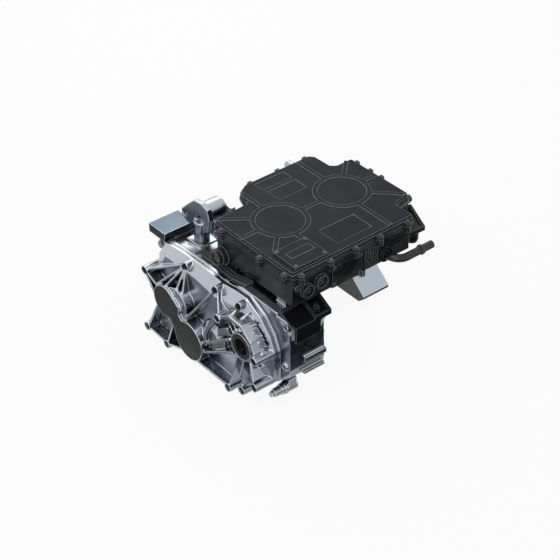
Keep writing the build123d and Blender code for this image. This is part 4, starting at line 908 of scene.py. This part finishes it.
class DRIVEUNIT_OT_stage(bpy.types.Operator):
    """Set up the pale floor, the soft light and the camera"""

    bl_idname = "driveunit.stage"
    bl_label = "Set stage"

    def execute(self, context):
        scene = context.scene
        stage = scene.drive_unit_stage
        scene.view_settings.view_transform = "Standard"
        half = stage.floor_size / 2
        mesh = bpy.data.meshes.new("floor")
        corners = [(-half, -half), (half, -half), (half, half), (-half, half)]
        mesh.from_pydata([(x, y, FLOOR_HEIGHT) for x, y in corners], [], [(0, 1, 2, 3)])
        floor = bpy.data.objects.new("floor", mesh)
        scene.collection.objects.link(floor)
        mesh.materials.append(self.floor_material(stage))
        self.world(scene, stage)
        for name, shade, middle, size in CARDS:
            self.card(name, getattr(stage, shade), middle, size)
        for name, strength, size, location in SOFT_BOXES:
            self.light(name, getattr(stage, strength), size, location)
        lens = bpy.data.cameras.new("camera")
        lens.lens = stage.lens
        lens.sensor_width = 36
        lens.clip_start = 0.05
        camera = bpy.data.objects.new("camera", lens)
        camera.location = Vector(CAMERA_PLACE) * MM
        aim = Vector(CAMERA_AIM) * MM - camera.location
        camera.rotation_euler = aim.to_track_quat("-Z", "Y").to_euler()
        scene.collection.objects.link(camera)
        scene.camera = camera
        return {"FINISHED"}

    def shown(self, tree):
        """One for rays that show the background: to the camera, in reflections and through glass."""
        path = add(tree, "ShaderNodeLightPath")
        total = add(
            tree, "ShaderNodeMath",
            links={0: path.outputs["Is Camera Ray"], 1: path.outputs["Is Glossy Ray"]}, operation="ADD",
        )
        total = add(
            tree, "ShaderNodeMath", links={0: total.outputs[0], 1: path.outputs["Is Transmission Ray"]},
            operation="ADD", use_clamp=True,
        )
        return total.outputs[0]

    def floor_material(self, stage):
        """Matt studio floor, paler to the camera and in reflections, which keeps the shadow."""
        material = bpy.data.materials.new("studio_floor_painted")
        material.use_nodes = True
        tree = material.node_tree
        tree.nodes.clear()
        seen = add(
            tree, "ShaderNodeMath", {1: stage.floor_white}, {0: self.shown(tree)}, operation="MULTIPLY"
        )
        paint = add(tree, "ShaderNodeBsdfDiffuse", {"Color": rgba(stage.floor)})
        glow = add(tree, "ShaderNodeEmission", {"Color": (1, 1, 1, 1), "Strength": 1.0})
        mix = add(
            tree, "ShaderNodeMixShader",
            links={0: seen.outputs[0], 1: paint.outputs[0], 2: glow.outputs[0]},
        )
        add(tree, "ShaderNodeOutputMaterial", links={"Surface": mix.outputs[0]})
        return material

    def card(self, name, value, middle, size):
        """Grey card on the floor beside the unit, as a photographer lays one, so that metal has form."""
        corners = [(-0.5, -0.5), (0.5, -0.5), (0.5, 0.5), (-0.5, 0.5)]
        mesh = bpy.data.meshes.new(name)
        # 2 mm above the floor, so that the two don't meet
        height = FLOOR_HEIGHT + 2 * MM
        points = [(middle[0] + x * size[0], middle[1] + y * size[1], height) for x, y in corners]
        mesh.from_pydata(points, [], [(0, 1, 2, 3)])
        material, _, shader, _ = start_material("card_grey_paper", 0.0, 0.9, 0.1)
        shader.inputs["Base Color"].default_value = rgba(value)
        mesh.materials.append(material)
        card = bpy.data.objects.new(name, mesh)
        bpy.context.scene.collection.objects.link(card)
        # left out of the picture and of the light, and kept in reflections alone
        card.visible_camera = False
        card.visible_diffuse = False
        card.visible_shadow = False

    def world(self, scene, stage):
        """White background, with an even soft light from all round."""
        world = bpy.data.worlds.new("studio")
        scene.world = world
        world.use_nodes = True
        tree = world.node_tree
        strength = spread(tree, self.shown(tree), low=stage.fill, high=1.0, start=0.0, end=1.0)
        sky = tree.nodes["Background"]
        sky.inputs["Color"].default_value = (1, 1, 1, 1)
        tree.links.new(strength, sky.inputs["Strength"])

    def light(self, name, watts, size, location):
        """Square soft box aimed at the middle of the unit."""
        lamp = bpy.data.lights.new(name, "AREA")
        lamp.energy = watts
        lamp.size = size
        box = bpy.data.objects.new(name, lamp)
        box.location = location
        aim = Vector(LIGHT_AIM) - box.location
        box.rotation_euler = aim.to_track_quat("-Z", "Y").to_euler()
        bpy.context.scene.collection.objects.link(box)


class DRIVEUNIT_PT_panel(bpy.types.Panel):
    """Buttons of the drive unit's finish"""

    bl_idname = "DRIVEUNIT_PT_panel"
    bl_label = "Drive unit"
    bl_space_type = "VIEW_3D"
    bl_region_type = "UI"
    bl_category = "Drive unit"

    def draw(self, context):
        for operator in OPERATORS:
            self.layout.operator(operator.bl_idname)
        for group in GROUPS:
            settings = getattr(context.scene, group)
            box = self.layout.box()
            for name in settings.bl_rna.properties.keys():
                if name not in ("rna_type", "name"):
                    box.prop(settings, name)


OPERATORS = (
    DRIVEUNIT_OT_materials, DRIVEUNIT_OT_castings, DRIVEUNIT_OT_drive_train,
    DRIVEUNIT_OT_motor, DRIVEUNIT_OT_inverter, DRIVEUNIT_OT_contacts,
    DRIVEUNIT_OT_duct, DRIVEUNIT_OT_bar_cap, DRIVEUNIT_OT_stage,
)
GROUPS = {
    "drive_unit_metals": DriveUnitMetals, "drive_unit_coats": DriveUnitCoats,
    "drive_unit_sizes": DriveUnitSizes, "drive_unit_stage": DriveUnitStage,
}


def register():
    for item in (*GROUPS.values(), *OPERATORS, DRIVEUNIT_PT_panel):
        bpy.utils.register_class(item)
    for name, group in GROUPS.items():
        setattr(bpy.types.Scene, name, PointerProperty(type=group))


def unregister():
    for name in GROUPS:
        delattr(bpy.types.Scene, name)
    for item in reversed((*GROUPS.values(), *OPERATORS, DRIVEUNIT_PT_panel)):
        bpy.utils.unregister_class(item)


def main():
    register()
    bpy.ops.driveunit.materials()
    bpy.ops.driveunit.castings()
    bpy.ops.driveunit.drive_train()
    bpy.ops.driveunit.motor()
    bpy.ops.driveunit.inverter()
    bpy.ops.driveunit.contacts()
    bpy.ops.driveunit.duct()
    bpy.ops.driveunit.bar_cap()
    bpy.ops.driveunit.stage()


if __name__ == "__main__":
    main()
